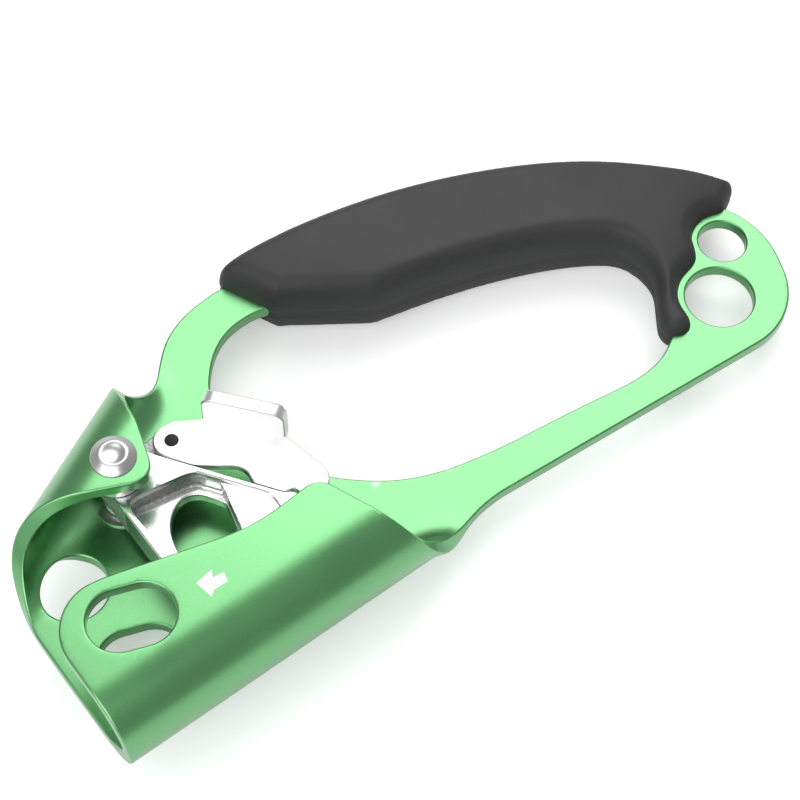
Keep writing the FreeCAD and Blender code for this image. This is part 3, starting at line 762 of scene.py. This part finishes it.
def slot_loop(unfolded):
    """Stadium slot for a karabiner, in the back wall or unfolded from the front wall."""
    low, high = SLOT_ENDS
    way = (high - low) / np.linalg.norm(high - low)
    side = np.array((-way[1], way[0])) * SLOT_RADIUS
    tip = way * SLOT_RADIUS
    loop = trace(low + side, (
        ("arc", low - tip, low - side),
        ("line", high - side),
        ("arc", high + tip, high + side),
    ))
    return np.stack(unfolded_front(*loop.T), 1) if unfolded else loop


def ramp(value, start, stop):
    """Smooth step 3 t^2 - 2 t^3 from 0 to 1."""
    share = np.clip((value - start) / (stop - start), 0, 1)
    return share * share * (3 - 2 * share)


def fold(points, origin, along, out, limits):
    """Bends the blank half a turn where it lies beyond a fold line.

    With s the distance beyond the line and a share k that ramps up along it, the turn is t = k s / R. The
    middle of the plate moves out by s sin t / t and up by s (1 - cos t) / t, and a point at height h from it
    adds (-h sin t, h cos t). Beyond the bend's length the plate runs straight on."""
    plan = points[:, :2] - origin
    beyond = plan @ out
    run = plan @ along
    share = ramp(run, *limits)
    bent = np.clip(beyond, 0, BEND_LENGTH)
    turn = np.maximum(share * bent / BEND_RADIUS, 1e-7)
    rest = np.clip(beyond - BEND_LENGTH, 0, None)
    height = points[:, 2] - PLATE / 2
    side = np.minimum(beyond, 0) + bent * np.sin(turn) / turn + rest * np.cos(turn) - height * np.sin(turn)
    rise = bent * (1 - np.cos(turn)) / turn + rest * np.sin(turn) + height * np.cos(turn)
    moved = origin + run[:, None] * along + side[:, None] * out
    result = np.concatenate((moved, (PLATE / 2 + rise)[:, None]), 1)
    return np.where((beyond > 0)[:, None], result, points)


def frame_surface(edge, gap):
    """The whole bent plate: one flat slab with round edges, folded at the channel and at the ear."""
    loops = [even(blank_outline(), 0.8, 3), even(handle_opening(), 0.8, 3)]
    for name in ("attach_hole", "small_hole", "head_hole"):
        loops.append(circle(mount_centre(name), mount_radius(name), 0.7))
    loops += [even(slot_loop(False), 0.7), even(slot_loop(True), 0.7)]
    points, triangles = slab(loops, rounded_rows(0.0, PLATE, edge), gap)
    channel_line = np.array((CHANNEL_X, 0.0))
    points = fold(points, channel_line, np.array((0.0, 1.0)), np.array((-1.0, 0.0)), CHANNEL_RAMP)
    points = fold(points, EAR_FOLD, EAR_ALONG, EAR_OUT, EAR_RAMP)
    return points, triangles


# ------------------------------------------------------------------ hand grip

GRIP_HALF = 10.2
GRIP_SOFT = 5.4
GRIP_POWER = 2.2
PARTING_DEPTH = 0.35
PARTING_HALF_WIDTH = 0.3
PALM_SIDE = ("curve", (76.6, 95.3), (77.4, 93), (77.6, 87), (77, 78), (75.5, 67.6), (71, 48.5), (62.5, 26),
             (51.5, 6), (44, -4), (37, -11.8), (31, -18), (25, -22.9))
FINGER_SIDE = ("curve", (7, 14.2), (13, 10.5), (19, 9.9), (24, 11.3), (28, 15.5), (36, 30.5), (43, 51),
               (47, 68))


def grip_outline():
    """Plan of the grip: palm side, tail, scallops round the foot holes, toe, finger side, head end."""
    big = mount_radius("attach_hole") + 1.75
    small = mount_radius("small_hole") + 1.7
    centre = mount_centre("small_hole")

    def at(middle, radius, degrees):
        """Point of a circle round a hole."""
        turn = math.radians(degrees)
        return middle + radius * np.array((math.cos(turn), math.sin(turn)))

    return trace((74.2, 96.0), (
        ("line", (75.0, 96.3)),
        PALM_SIDE,
        ("curve", (23.4, -23.9), (22.2, -23.9), (21.2, -22.9)),
        ("line", at(centre, small + 0.6, -42)),
        ("arc", at(centre, small, 0), at(centre, small, 55)),
        ("curve", (14.2, -4.2), (11.6, -2.6), at(np.zeros(2), big, 4)),
        ("arc", at(np.zeros(2), big, 45), at(np.zeros(2), big, 90)),
        ("curve", (-1.8, 10.9), (-3.1, 12.6), (-3.0, 14.8), (-1.2, 17.2), (2.3, 17.5)),
        FINGER_SIDE,
        ("curve", (47.5, 69.6), (48.6, 71.3)),
        ("line", (60.0, 88.0)),
        ("line", (60.3, 89.5)),
    ))


def grip_thickness(plan):
    """Half thickness: GRIP_HALF (1 - 0.46 exp(-foot / 14)) (1 - 0.14 exp(-head / 3)).

    foot and head are the distances from the lines that end the grip."""
    foot_way = np.array((0.894, 0.448))
    foot = np.clip((plan - np.array((22.6, -24.4))) @ foot_way, 0, None)
    head_way = np.array((0.386, -0.922))
    head = np.clip((plan - np.array((67.8, 92.9))) @ head_way, 0, None)
    return GRIP_HALF * (1 - 0.46 * np.exp(-foot / 14)) * (1 - 0.14 * np.exp(-head / 3))


def grip_surface(gap):
    """Pillow over the plan: z = middle +- T (1 - (1 - d / r)^p)^(1 / p), d the distance from the edge."""
    loop = even(grip_outline(), 0.6, 4)
    depth = np.array((0.95, 0.7, 0.48, 0.3, 0.17, 0.08, 0.03))
    side = np.arange(len(depth), 0, -1)
    seam = np.array(((PARTING_DEPTH, 0.0),))
    rows = np.concatenate((np.stack((depth, side), 1), seam, np.stack((depth, -side), 1)[::-1]))
    points, triangles = slab([loop], rows, gap)
    plan = points[:, :2]
    thick = grip_thickness(plan)
    soft = GRIP_SOFT * thick / GRIP_HALF
    near = np.empty(len(points))
    rings = len(rows) * len(loop)
    near[:rings] = np.repeat(rows[:, 0], len(loop))
    near[rings:] = edge_distance(plan[rings:], [facing(loop, True)])
    share = np.clip(1 - near / soft, 0, 1)
    rise = (1 - share ** GRIP_POWER) ** (1 / GRIP_POWER)
    height = PARTING_HALF_WIDTH + (thick - PARTING_HALF_WIDTH) * rise
    points[:, 2] = PLATE / 2 + np.sign(points[:, 2]) * height
    return points, triangles


# ------------------------------------------------------------------ cam

SPIRAL_REACH = 51.9
SPIRAL_REACH_ANGLE = math.radians(196.7)
SPIRAL_GROWTH = 0.3
CAM_HEAD_Y = 151.4
CAM_HUB_RADIUS = 7.2
CAM_FLOOR_Z = CAM_FRONT_Z - 4.85
CAM_UNDER_Z = CAM_BACK_Z + 3.0
BAR_START = np.array((37.7, 137.4))
BAR_STOP = np.array((13.2, 120.0))
CHEEK_DROP = 0.8
# The grainy patch starts on a slanted line through this point, below this depth under the cam's front.
CAST_PATCH_X = 28.2
CAST_PATCH_Y = 140.0
CAST_PATCH_SLOPE = 0.17
CAST_PATCH_FADE = 0.6
CAST_PATCH_DROP = 1.5
TOOTH_TURNS = (178.5, 3.4, 9, 4)


def spiral(angle, extra=0.0):
    """Gripping face: radius = reach exp(growth (angle - reach angle)) about the axle."""
    radius = SPIRAL_REACH * np.exp(SPIRAL_GROWTH * (angle - SPIRAL_REACH_ANGLE)) + extra
    return AXLE + np.stack((radius * np.cos(angle), radius * np.sin(angle)), -1)


def cam_outline():
    """Cam in plan: hub cut flat on its head side, spiral gripping face, foot side and the bar."""
    face = spiral(np.radians(np.linspace(175.0, 212.5, 7)))
    flat_x = AXLE[0] + math.sqrt(CAM_HUB_RADIUS ** 2 - (CAM_HEAD_Y - AXLE[1]) ** 2)
    bar = (BAR_START - BAR_STOP) / np.linalg.norm(BAR_START - BAR_STOP)
    hub_end = AXLE + CAM_HUB_RADIUS * np.array((bar[1], -bar[0]))
    return trace((flat_x, CAM_HEAD_Y), (
        ("line", face[0]),
        ("curve", *face[1:]),
        ("arc", (-6.6, 115.2), (-4.6, 114.8)),
        ("line", (12.4, 118.2)),
        ("line", BAR_STOP),
        ("line", BAR_START),
        ("line", hub_end),
        ("arc", AXLE + (CAM_HUB_RADIUS, 0), (flat_x, CAM_HEAD_Y)),
    ))


def pocket_outline():
    """Inner edge of the rim and of the bar, round the cast pocket and the cheek beside it."""
    return trace((3.0, 149.0), (
        ("line", (29.2, 149.9)),
        ("arc", (31.4, 149.3), (32.0, 147.2)),
        ("line", (29.9, 134.6)),
        ("arc", (29.3, 133.2), (28.2, 132.4)),
        ("line", (14.1, 122.4)),
        ("line", (3.0, 124.4)),
    ))


def cheek_outline():
    """Cheek between the pocket and the bar, a little lower than the rim."""
    return trace((24.6, 130.2), (
        ("line", (22.4, 130.3)),
        ("line", (2.4, 135.0)),
        ("line", (2.4, 123.4)),
        ("line", (14.3, 121.6)),
    ))


def window_outline():
    """Window through the pocket floor, round at the axle end."""
    return trace((8.0, 146.4), (
        ("line", (18.0, 146.1)),
        ("curve", (22.2, 144.8), (26.1, 141.6), (27.5, 137.4), (26.2, 134.4)),
        ("curve", (24.0, 132.8), (20.8, 130.9)),
        ("line", (8.0, 134.2)),
    ))


def lug_outline():
    """Low lug beside the bar that carries the catch pin."""
    return trace((31.2, 132.9), (
        ("line", (36.2, 128.0)),
        ("arc", (42.4, 128.3), (44.3, 133.4)),
        ("line", (43.2, 142.0)),
        ("line", (37.0, 141.0)),
    ))


def teeth():
    """Cone teeth on the gripping face in staggered rows, each a stack of shrinking rings with a point.

    A ring is root + rise way + radius (cos t side + sin t up), way being the tooth's axis."""
    start, step, count, rows = TOOTH_TURNS
    row, column = np.meshgrid(np.arange(rows), np.arange(count), indexing="ij")
    angle = np.radians(start + step * (column + (row % 2) / 2)).ravel()
    height = (MID_Z + 2.4 * (row - (rows - 1) / 2)).ravel()
    root = np.concatenate((spiral(angle, -0.6), height[:, None]), 1)
    way = np.stack((np.cos(angle), np.sin(angle) - 0.35, np.zeros(len(angle))), 1)
    way /= np.linalg.norm(way, axis=1)[:, None]
    up = np.broadcast_to((0.0, 0.0, 1.0), way.shape)
    side = np.cross(up, way)
    sides = 12
    turn = 2 * math.pi * np.arange(sides) / sides
    levels = np.array(((0.95, 0.0), (0.95, 0.7), (0.5, 1.5), (0.2, 2.0)))
    ring = side[:, None] * np.cos(turn)[None, :, None] + up[:, None] * np.sin(turn)[None, :, None]
    rings = root[:, None, None] + levels[None, :, 0, None, None] * ring[:, None]
    rings = rings + levels[None, :, 1, None, None] * way[:, None, None]
    each = len(levels) * sides + 2
    caps = np.stack((root, root + 2.08 * way), 1)
    points = np.concatenate((rings.reshape(len(root), -1, 3), caps), 1)
    index = np.arange(sides)
    following = (index + 1) % sides
    shape = []
    for low in range(len(levels) - 1):
        a, d = low * sides + index, low * sides + following
        b, c = a + sides, d + sides
        shape += [np.stack((a, d, c), 1), np.stack((a, c, b), 1)]
    base = np.full(sides, len(levels) * sides)
    shape.append(np.stack((base, following, index), 1))
    end = (len(levels) - 1) * sides
    shape.append(np.stack((base + 1, end + index, end + following), 1))
    shape = np.concatenate(shape)
    faces = shape[None] + (np.arange(len(root)) * each)[:, None, None]
    return points.reshape(-1, 3), faces.reshape(-1, 3)


def cam_surface(gap):
    """Cam from closed shells: floor plate, rim round the pocket, back rim, cheek, lug and teeth.

    The rows step each wall from its softened edge to where it sinks into the floor plate."""
    outer = even(cam_outline(), 0.7, 2)
    pocket = even(pocket_outline(), 0.6, 12)
    window = even(window_outline(), 0.6, 2)
    cheek = even(cheek_outline(), 0.6, 2)
    lug = even(lug_outline(), 0.6, 3)
    axle_bore = circle(AXLE, 3.2, 0.4)
    pin_bore = circle(CATCH_PIN, 2.05, 0.4)
    plain = rounded_rows(CAM_UNDER_Z, CAM_FLOOR_Z, 0.25, 2)
    front = CAM_FRONT_Z
    back = CAM_BACK_Z
    floor = CAM_FLOOR_Z
    root = floor - 0.1
    under = CAM_UNDER_Z + 0.1
    drafted = np.array((
        (0.28, front), (0.1, front - 0.08), (0.0, front - 0.3), (-0.3, floor + 1.2), (-0.5, floor + 0.5),
        (-0.8, floor + 0.15), (-1.2, root)))
    rim_outer = np.array(((0.45, front), (0.18, front - 0.1), (0.0, front - 0.45), (0.0, root)))
    front_bore = np.array(((0.3, front), (0.1, front - 0.1), (0.0, front - 0.3), (0.0, root)))
    back_outer = np.array(((0.0, under), (0.0, back + 0.45), (0.18, back + 0.1), (0.45, back)))
    back_inner = np.array(((0.0, under), (0.0, back + 0.3), (0.1, back + 0.08), (0.28, back)))
    cheek_rows = rounded_rows(root, front - CHEEK_DROP, 0.25, 3)
    lug_rows = rounded_rows(back + 2.6, CATCH_BACK_Z - 0.4, 0.4, 3)
    shells = [
        slab([outer, window, axle_bore], [plain, rounded_rows(CAM_UNDER_Z, floor, 0.5, 3), plain], gap),
        slab([outer, pocket, axle_bore], [rim_outer, drafted, front_bore], gap),
        slab([outer, pocket, axle_bore], [back_outer, back_inner, back_inner], gap),
        slab([cheek], cheek_rows, gap),
        slab([lug, pin_bore], lug_rows, gap),
        teeth(),
    ]
    return join(shells)


# ------------------------------------------------------------------ catch

TAB_START = np.array((39.8, 124.2))
TAB_STOP = np.array((24.8, 111.8))
TAB_LENGTH = np.linalg.norm(TAB_STOP - TAB_START)
TAB_WAY = (TAB_STOP - TAB_START) / TAB_LENGTH
TAB_SIDE = np.array((-TAB_WAY[1], TAB_WAY[0]))
TAB_THICK = 3.3
TAB_CORNER = 3.0
RIB_PITCH = 1.5
RIB_DEPTH = 0.45
BAR_GAP = 0.35


def catch_outline():
    """Catch plate: round the pin, along the tab, down to the finger tip and back along the cam's bar."""
    bar = (BAR_STOP - BAR_START) / np.linalg.norm(BAR_STOP - BAR_START)
    side = np.array((-bar[1], bar[0])) * BAR_GAP
    nearest = (CATCH_PIN - BAR_START) @ bar
    upper = BAR_START + bar * nearest + side
    heel = np.linalg.norm(CATCH_PIN - upper)
    return trace(upper, (
        ("arc", CATCH_PIN + heel * np.array((0.6, 0.8)), CATCH_PIN + (heel, 0)),
        ("line", (43.3, 129.9)),
        ("line", (41.8, 127.4)),
        ("line", TAB_START),
        ("line", TAB_START + TAB_SIDE * TAB_THICK),
        ("line", TAB_STOP + TAB_SIDE * TAB_THICK),
        ("line", TAB_STOP),
        ("line", (24.1, 111.4)),
        ("line", (14.2, 109.2)),
        ("arc", (10.6, 109.7), (8.4, 112.6)),
        ("line", (8.2, 116.2)),
        ("line", (12.9, 117.4)),
        ("line", BAR_STOP + side),
        ("line", BAR_START + bar * 22.4 + side),
        ("line", (22.4, 123.7)),
        ("arc", (24.3, 124.1), (25.8, 125.3)),
        ("line", (28.2, 128.6)),
        ("line", BAR_START + bar * 8.2 + side),
    ))


def tab_surface():
    """Thumb tab, upright on the catch: a slab along its length and height, its far face ribbed.

    The far face moves in by RIB_DEPTH times a triangle wave of its height, RIB_PITCH long."""
    low = CATCH_FRONT_Z - 1.2
    corner = TAB_CORNER
    blend = corner * (1 - math.sqrt(0.5))
    top = TAB_TOP_Z
    loop = trace((0.0, low), (
        ("line", (0.0, top - corner)),
        ("arc", (blend, top - blend), (corner, top)),
        ("line", (TAB_LENGTH - corner, top)),
        ("arc", (TAB_LENGTH - blend, top - blend), (TAB_LENGTH, top - corner)),
        ("line", (TAB_LENGTH, low)),
    ))
    points, triangles = slab([even(loop, 0.4, 6)], rounded_rows(0.0, TAB_THICK, 0.5), 0.37)
    run, height, depth = points.T
    wave = np.abs((height / RIB_PITCH) % 1 - 0.5) * 2
    far = np.clip((depth - TAB_THICK * 0.6) / (TAB_THICK * 0.4), 0, 1)
    depth = depth - RIB_DEPTH * wave * far * (height > CATCH_FRONT_Z + 1.0)
    plan = TAB_START + run[:, None] * TAB_WAY + depth[:, None] * TAB_SIDE
    return np.concatenate((plan, height[:, None]), 1), triangles[:, ::-1]


def catch_surface(gap):
    """Catch plate with round edges, and its tab."""
    plate = slab([even(catch_outline(), 0.45, 2)], rounded_rows(CATCH_BACK_Z, CATCH_FRONT_Z, 0.4), gap)
    return join([plate, tab_surface()])


# ------------------------------------------------------------------ turned pieces

def rivet_profile():
    """Rivet from the front: dished centre, round crown, conical flange, shank, and the formed rear head."""
    head = (
        (0.0, 1.05), (0.8, 1.07), (1.5, 1.14), (2.0, 1.3), (2.4, 1.5), (2.75, 1.62), (3.05, 1.64),
        (3.35, 1.55), (3.75, 1.28), (4.3, 0.86), (4.8, 0.52), (5.05, 0.34), (5.18, 0.2), (5.2, 0.06),
        (5.1, -0.02), (2.5, -0.02))
    shoulder = ((2.5, -1.0), (4.4, -1.0), (4.47, -1.15), (4.3, -1.7))
    tail = ((3.7, 0.25), (3.3, 0.05), (2.6, 0.0), (1.2, 0.2), (0.0, 0.25))
    end = level("cam_axle", False)
    return np.concatenate((np.array(head) + (0.0, FRONT_Z), np.array(shoulder), np.array(tail) + (0.0, end)))


def pin_profile():
    """Catch pin: flat face with a small round edge, shank and rear head."""
    top = CATCH_FRONT_Z + 0.03
    low = level("catch_pin", False)
    return np.array((
        (0.0, top), (1.55, top), (1.8, top - 0.08), (1.93, top - 0.25), (2.0, top - 0.5), (2.0, low + 1.0),
        (3.0, low + 1.0), (3.17, low + 0.85), (3.2, low + 0.5), (3.1, low + 0.15), (2.8, low), (0.0, low)))


def arrow_outline():
    """Arrow that points up the rope, printed on the channel's front wall."""
    return trace((3.6, 149.8), (
        ("line", (4.3, 145.2)),
        ("line", (2.6, 146.1)),
        ("line", (2.2, 143.5)),
        ("line", (-0.1, 144.05)),
        ("line", (0.0, 147.6)),
        ("line", (-1.1, 148.9)),
    ))


# ------------------------------------------------------------------ settings

class AscenderSettings(PropertyGroup):
    """Sizes and colours of the ascender's looks."""

    edge_radius: FloatProperty(
        name="Plate edge radius", description="Radius of the plate's rounded edges", default=0.55 * MM,
        min=0.0001, unit="LENGTH")
    plate_grid: FloatProperty(
        name="Plate grid", description="Spacing of the points over the plate", default=1.25 * MM, min=0.0005,
        unit="LENGTH")
    grip_grid: FloatProperty(
        name="Grip grid", description="Spacing of the points over the grip", default=0.8 * MM, min=0.0005,
        unit="LENGTH")
    plate_colour: FloatVectorProperty(
        name="Plate colour", description="Tone of the anodised plate", subtype="COLOR", size=3,
        default=(0.115, 0.44, 0.14), min=0.0, max=1.0)
    rubber_colour: FloatVectorProperty(
        name="Rubber colour", description="Tone of the grip", subtype="COLOR", size=3,
        default=(0.032, 0.032, 0.033), min=0.0, max=1.0)
    steel_colour: FloatVectorProperty(
        name="Steel colour", description="Tone of the plated steel", subtype="COLOR", size=3,
        default=(0.80, 0.80, 0.80), min=0.0, max=1.0)
    sky_strength: FloatProperty(
        name="Walls", description="Strength of the even light from the studio walls", default=0.36, min=0.0)
    key_power: FloatProperty(
        name="Key light", description="Power of the softbox overhead", default=3.7, min=0.0, unit="POWER")
    fill_power: FloatProperty(
        name="Fill light", description="Power of the softbox above the camera", default=3.6, min=0.0,
        unit="POWER")


# ------------------------------------------------------------------ stage

CAMERA_AIM = (23.34, 80.13, 3.6)
CAMERA_BACK = (-0.3856, 0.3086, 0.8695)
CAMERA_UP = (0.6986, -0.5180, 0.4936)
CAMERA_DISTANCE = 480.0
CAMERA_LENS = 91.49
CAMERA_SENSOR = 36.0

# Softboxes: the way from the aim to the light, and width and height in metres.
LIGHT_DISTANCE = 0.75
KEY_WAY = (0.45, -0.45, 0.77)
KEY_SIZE = (0.66, 0.74)
FILL_WAY = (-0.30, 0.66, 0.69)
FILL_SIZE = (0.8, 0.7)

FLOOR_REACH = 2.5
FLOOR_GAP = 0.0004


def add_floor(scene):
    """Flat square a little below the object's lowest level."""
    reach = FLOOR_REACH
    height = cad_box[0][2] - FLOOR_GAP
    corners = [(x * reach, y * reach, height) for x, y in ((-1, -1), (1, -1), (1, 1), (-1, 1))]
    mesh = bpy.data.meshes.new("floor")
    mesh.from_pydata(corners, [], [(0, 1, 2, 3)])
    mesh.materials.append(finishes()["floor"])
    floor = bpy.data.objects.new("floor", mesh)
    scene.collection.objects.link(floor)


def add_camera(scene, aim):
    """Camera at aim + distance back, its axes side = up x back, up and back."""
    back = Vector(CAMERA_BACK)
    up = Vector(CAMERA_UP)
    side = up.cross(back)
    place = aim + back * CAMERA_DISTANCE * MM
    lens = bpy.data.cameras.new("camera")
    lens.lens = CAMERA_LENS
    lens.sensor_width = CAMERA_SENSOR
    lens.clip_start = 0.01
    camera = bpy.data.objects.new("camera", lens)
    camera.matrix_world = Matrix((
        (side.x, up.x, back.x, place.x),
        (side.y, up.y, back.y, place.y),
        (side.z, up.z, back.z, place.z),
        (0, 0, 0, 1)))
    scene.collection.objects.link(camera)
    scene.camera = camera


def add_softbox(scene, aim, name, way, size, power):
    """Rectangular light that faces the aim from LIGHT_DISTANCE."""
    light = bpy.data.lights.new(name, "AREA")
    light.shape = "RECTANGLE"
    light.size, light.size_y = size
    light.energy = power
    lamp = bpy.data.objects.new(name, light)
    direction = Vector(way).normalized()
    lamp.location = aim + direction * LIGHT_DISTANCE
    lamp.rotation_euler = direction.to_track_quat("Z", "Y").to_euler()
    scene.collection.objects.link(lamp)


# ------------------------------------------------------------------ operators

CAM_GRID = 1.6
CATCH_GRID = 1.2
KEPT_NODES = {
    "axle_rear_washer": "rivet",
    "axle_bush": "rivet",
    "cam_front_washer": "rivet",
    "cam_rear_washer": "rivet",
    "cam_spring": "spring",
    "catch_spring": "spring",
}


class ASCENDER_OT_stage(Operator):
    """Pale floor, soft lights and the camera"""

    bl_idname = "ascender.stage"
    bl_label = "Stage"

    def execute(self, context):
        scene = context.scene
        look = scene.ascender
        aim = Vector(CAMERA_AIM) * MM
        add_floor(scene)
        add_camera(scene, aim)
        add_softbox(scene, aim, "key_softbox", KEY_WAY, KEY_SIZE, look.key_power)
        add_softbox(scene, aim, "fill_softbox", FILL_WAY, FILL_SIZE, look.fill_power)

        world = bpy.data.worlds.new("studio")
        world.use_nodes = True
        background = world.node_tree.nodes["Background"]
        background.inputs["Color"].default_value = (1.0, 1.0, 1.0, 1.0)
        background.inputs["Strength"].default_value = look.sky_strength
        scene.world = world
        scene.view_settings.view_transform = "Standard"
        return {"FINISHED"}


class ASCENDER_OT_plate(Operator):
    """Bent aluminium plate: back wall, rope channel, ear and limbs"""

    bl_idname = "ascender.plate"
    bl_label = "Frame plate"

    def execute(self, context):
        look = context.scene.ascender
        points, triangles = frame_surface(look.edge_radius / MM, look.plate_grid / MM)
        make_piece("frame_plate", points, triangles, finishes()["plate"], "main",
                   ("frame",))
        return {"FINISHED"}


class ASCENDER_OT_grip(Operator):
    """Moulded rubber hand grip"""

    bl_idname = "ascender.grip"
    bl_label = "Hand grip"

    def execute(self, context):
        points, triangles = grip_surface(context.scene.ascender.grip_grid / MM)
        make_piece("rubber_grip", points, triangles, finishes()["rubber"], "main",
                   ("handle_grip",), sharp=60.0)
        return {"FINISHED"}


class ASCENDER_OT_cam(Operator):
    """Cast cam with its pocket, window, lug and teeth"""

    bl_idname = "ascender.cam"
    bl_label = "Cam"

    def execute(self, context):
        points, triangles = cam_surface(CAM_GRID)
        make_piece("cast_cam", points, triangles, finishes()["cam"], "cam_body", ("cam",))
        return {"FINISHED"}


class ASCENDER_OT_catch(Operator):
    """Safety catch with its thumb tab, and the pin that it turns on"""

    bl_idname = "ascender.catch"
    bl_label = "Safety catch"

    def execute(self, context):
        points, triangles = catch_surface(CATCH_GRID)
        make_piece("pressed_catch", points, triangles, finishes()["catch"], "catch_body",
                   ("safety_catch",))
        points, triangles = lathe(pin_profile(), CATCH_PIN, 64)
        make_piece("pivot_pin", points, triangles, finishes()["black"], "catch_body",
                   ("catch_pin",))
        return {"FINISHED"}


class ASCENDER_OT_axle(Operator):
    """Rivet of the cam, and the washers, bush and springs of the frame's own parts"""

    bl_idname = "ascender.axle"
    bl_label = "Axle group"

    def execute(self, context):
        points, triangles = lathe(rivet_profile(), AXLE)
        make_piece("dished_rivet", points, triangles, finishes()["rivet"], "main",
                   ("cam_axle",))
        for name, finish in KEPT_NODES.items():
            materials = frame["nodes"][name].data.materials
            materials.clear()
            materials.append(finishes()[finish])
        return {"FINISHED"}


class ASCENDER_OT_print(Operator):
    """White arrow printed on the front wall of the channel"""

    bl_idname = "ascender.print"
    bl_label = "Arrow print"

    def execute(self, context):
        loop = even(arrow_outline(), 0.3)
        rows = np.array(((0.0, FRONT_Z + 0.025), (0.0, FRONT_Z - 0.02)))
        points, triangles = slab([loop], rows, 1.0)
        make_piece("arrow_print", points, triangles, finishes()["ink"], "main")
        return {"FINISHED"}


class ASCENDER_PT_panel(Panel):
    """Buttons for each piece, and the sizes and colours"""

    bl_label = "Hand ascender"
    bl_idname = "ASCENDER_PT_panel"
    bl_space_type = "VIEW_3D"
    bl_region_type = "UI"
    bl_category = "Ascender"

    def draw(self, context):
        for operator in OPERATORS:
            self.layout.operator(operator.bl_idname)
        for name in AscenderSettings.__annotations__:
            self.layout.prop(context.scene.ascender, name)


OPERATORS = (ASCENDER_OT_stage, ASCENDER_OT_plate, ASCENDER_OT_grip, ASCENDER_OT_cam, ASCENDER_OT_catch,
             ASCENDER_OT_axle, ASCENDER_OT_print)
CLASSES = (AscenderSettings, *OPERATORS, ASCENDER_PT_panel)

def register():
    """Adds the classes and the scene's settings."""
    for item in CLASSES:
        bpy.utils.register_class(item)
    bpy.types.Scene.ascender = PointerProperty(type=AscenderSettings)


def unregister():
    """Removes what register added."""
    del bpy.types.Scene.ascender
    for item in reversed(CLASSES):
        bpy.utils.unregister_class(item)


def main():
    """Builds the stage and every piece."""
    register()
    bpy.ops.ascender.stage()
    bpy.ops.ascender.plate()
    bpy.ops.ascender.grip()
    bpy.ops.ascender.cam()
    bpy.ops.ascender.catch()
    bpy.ops.ascender.axle()
    bpy.ops.ascender.print()


if __name__ == "__main__":
    main()
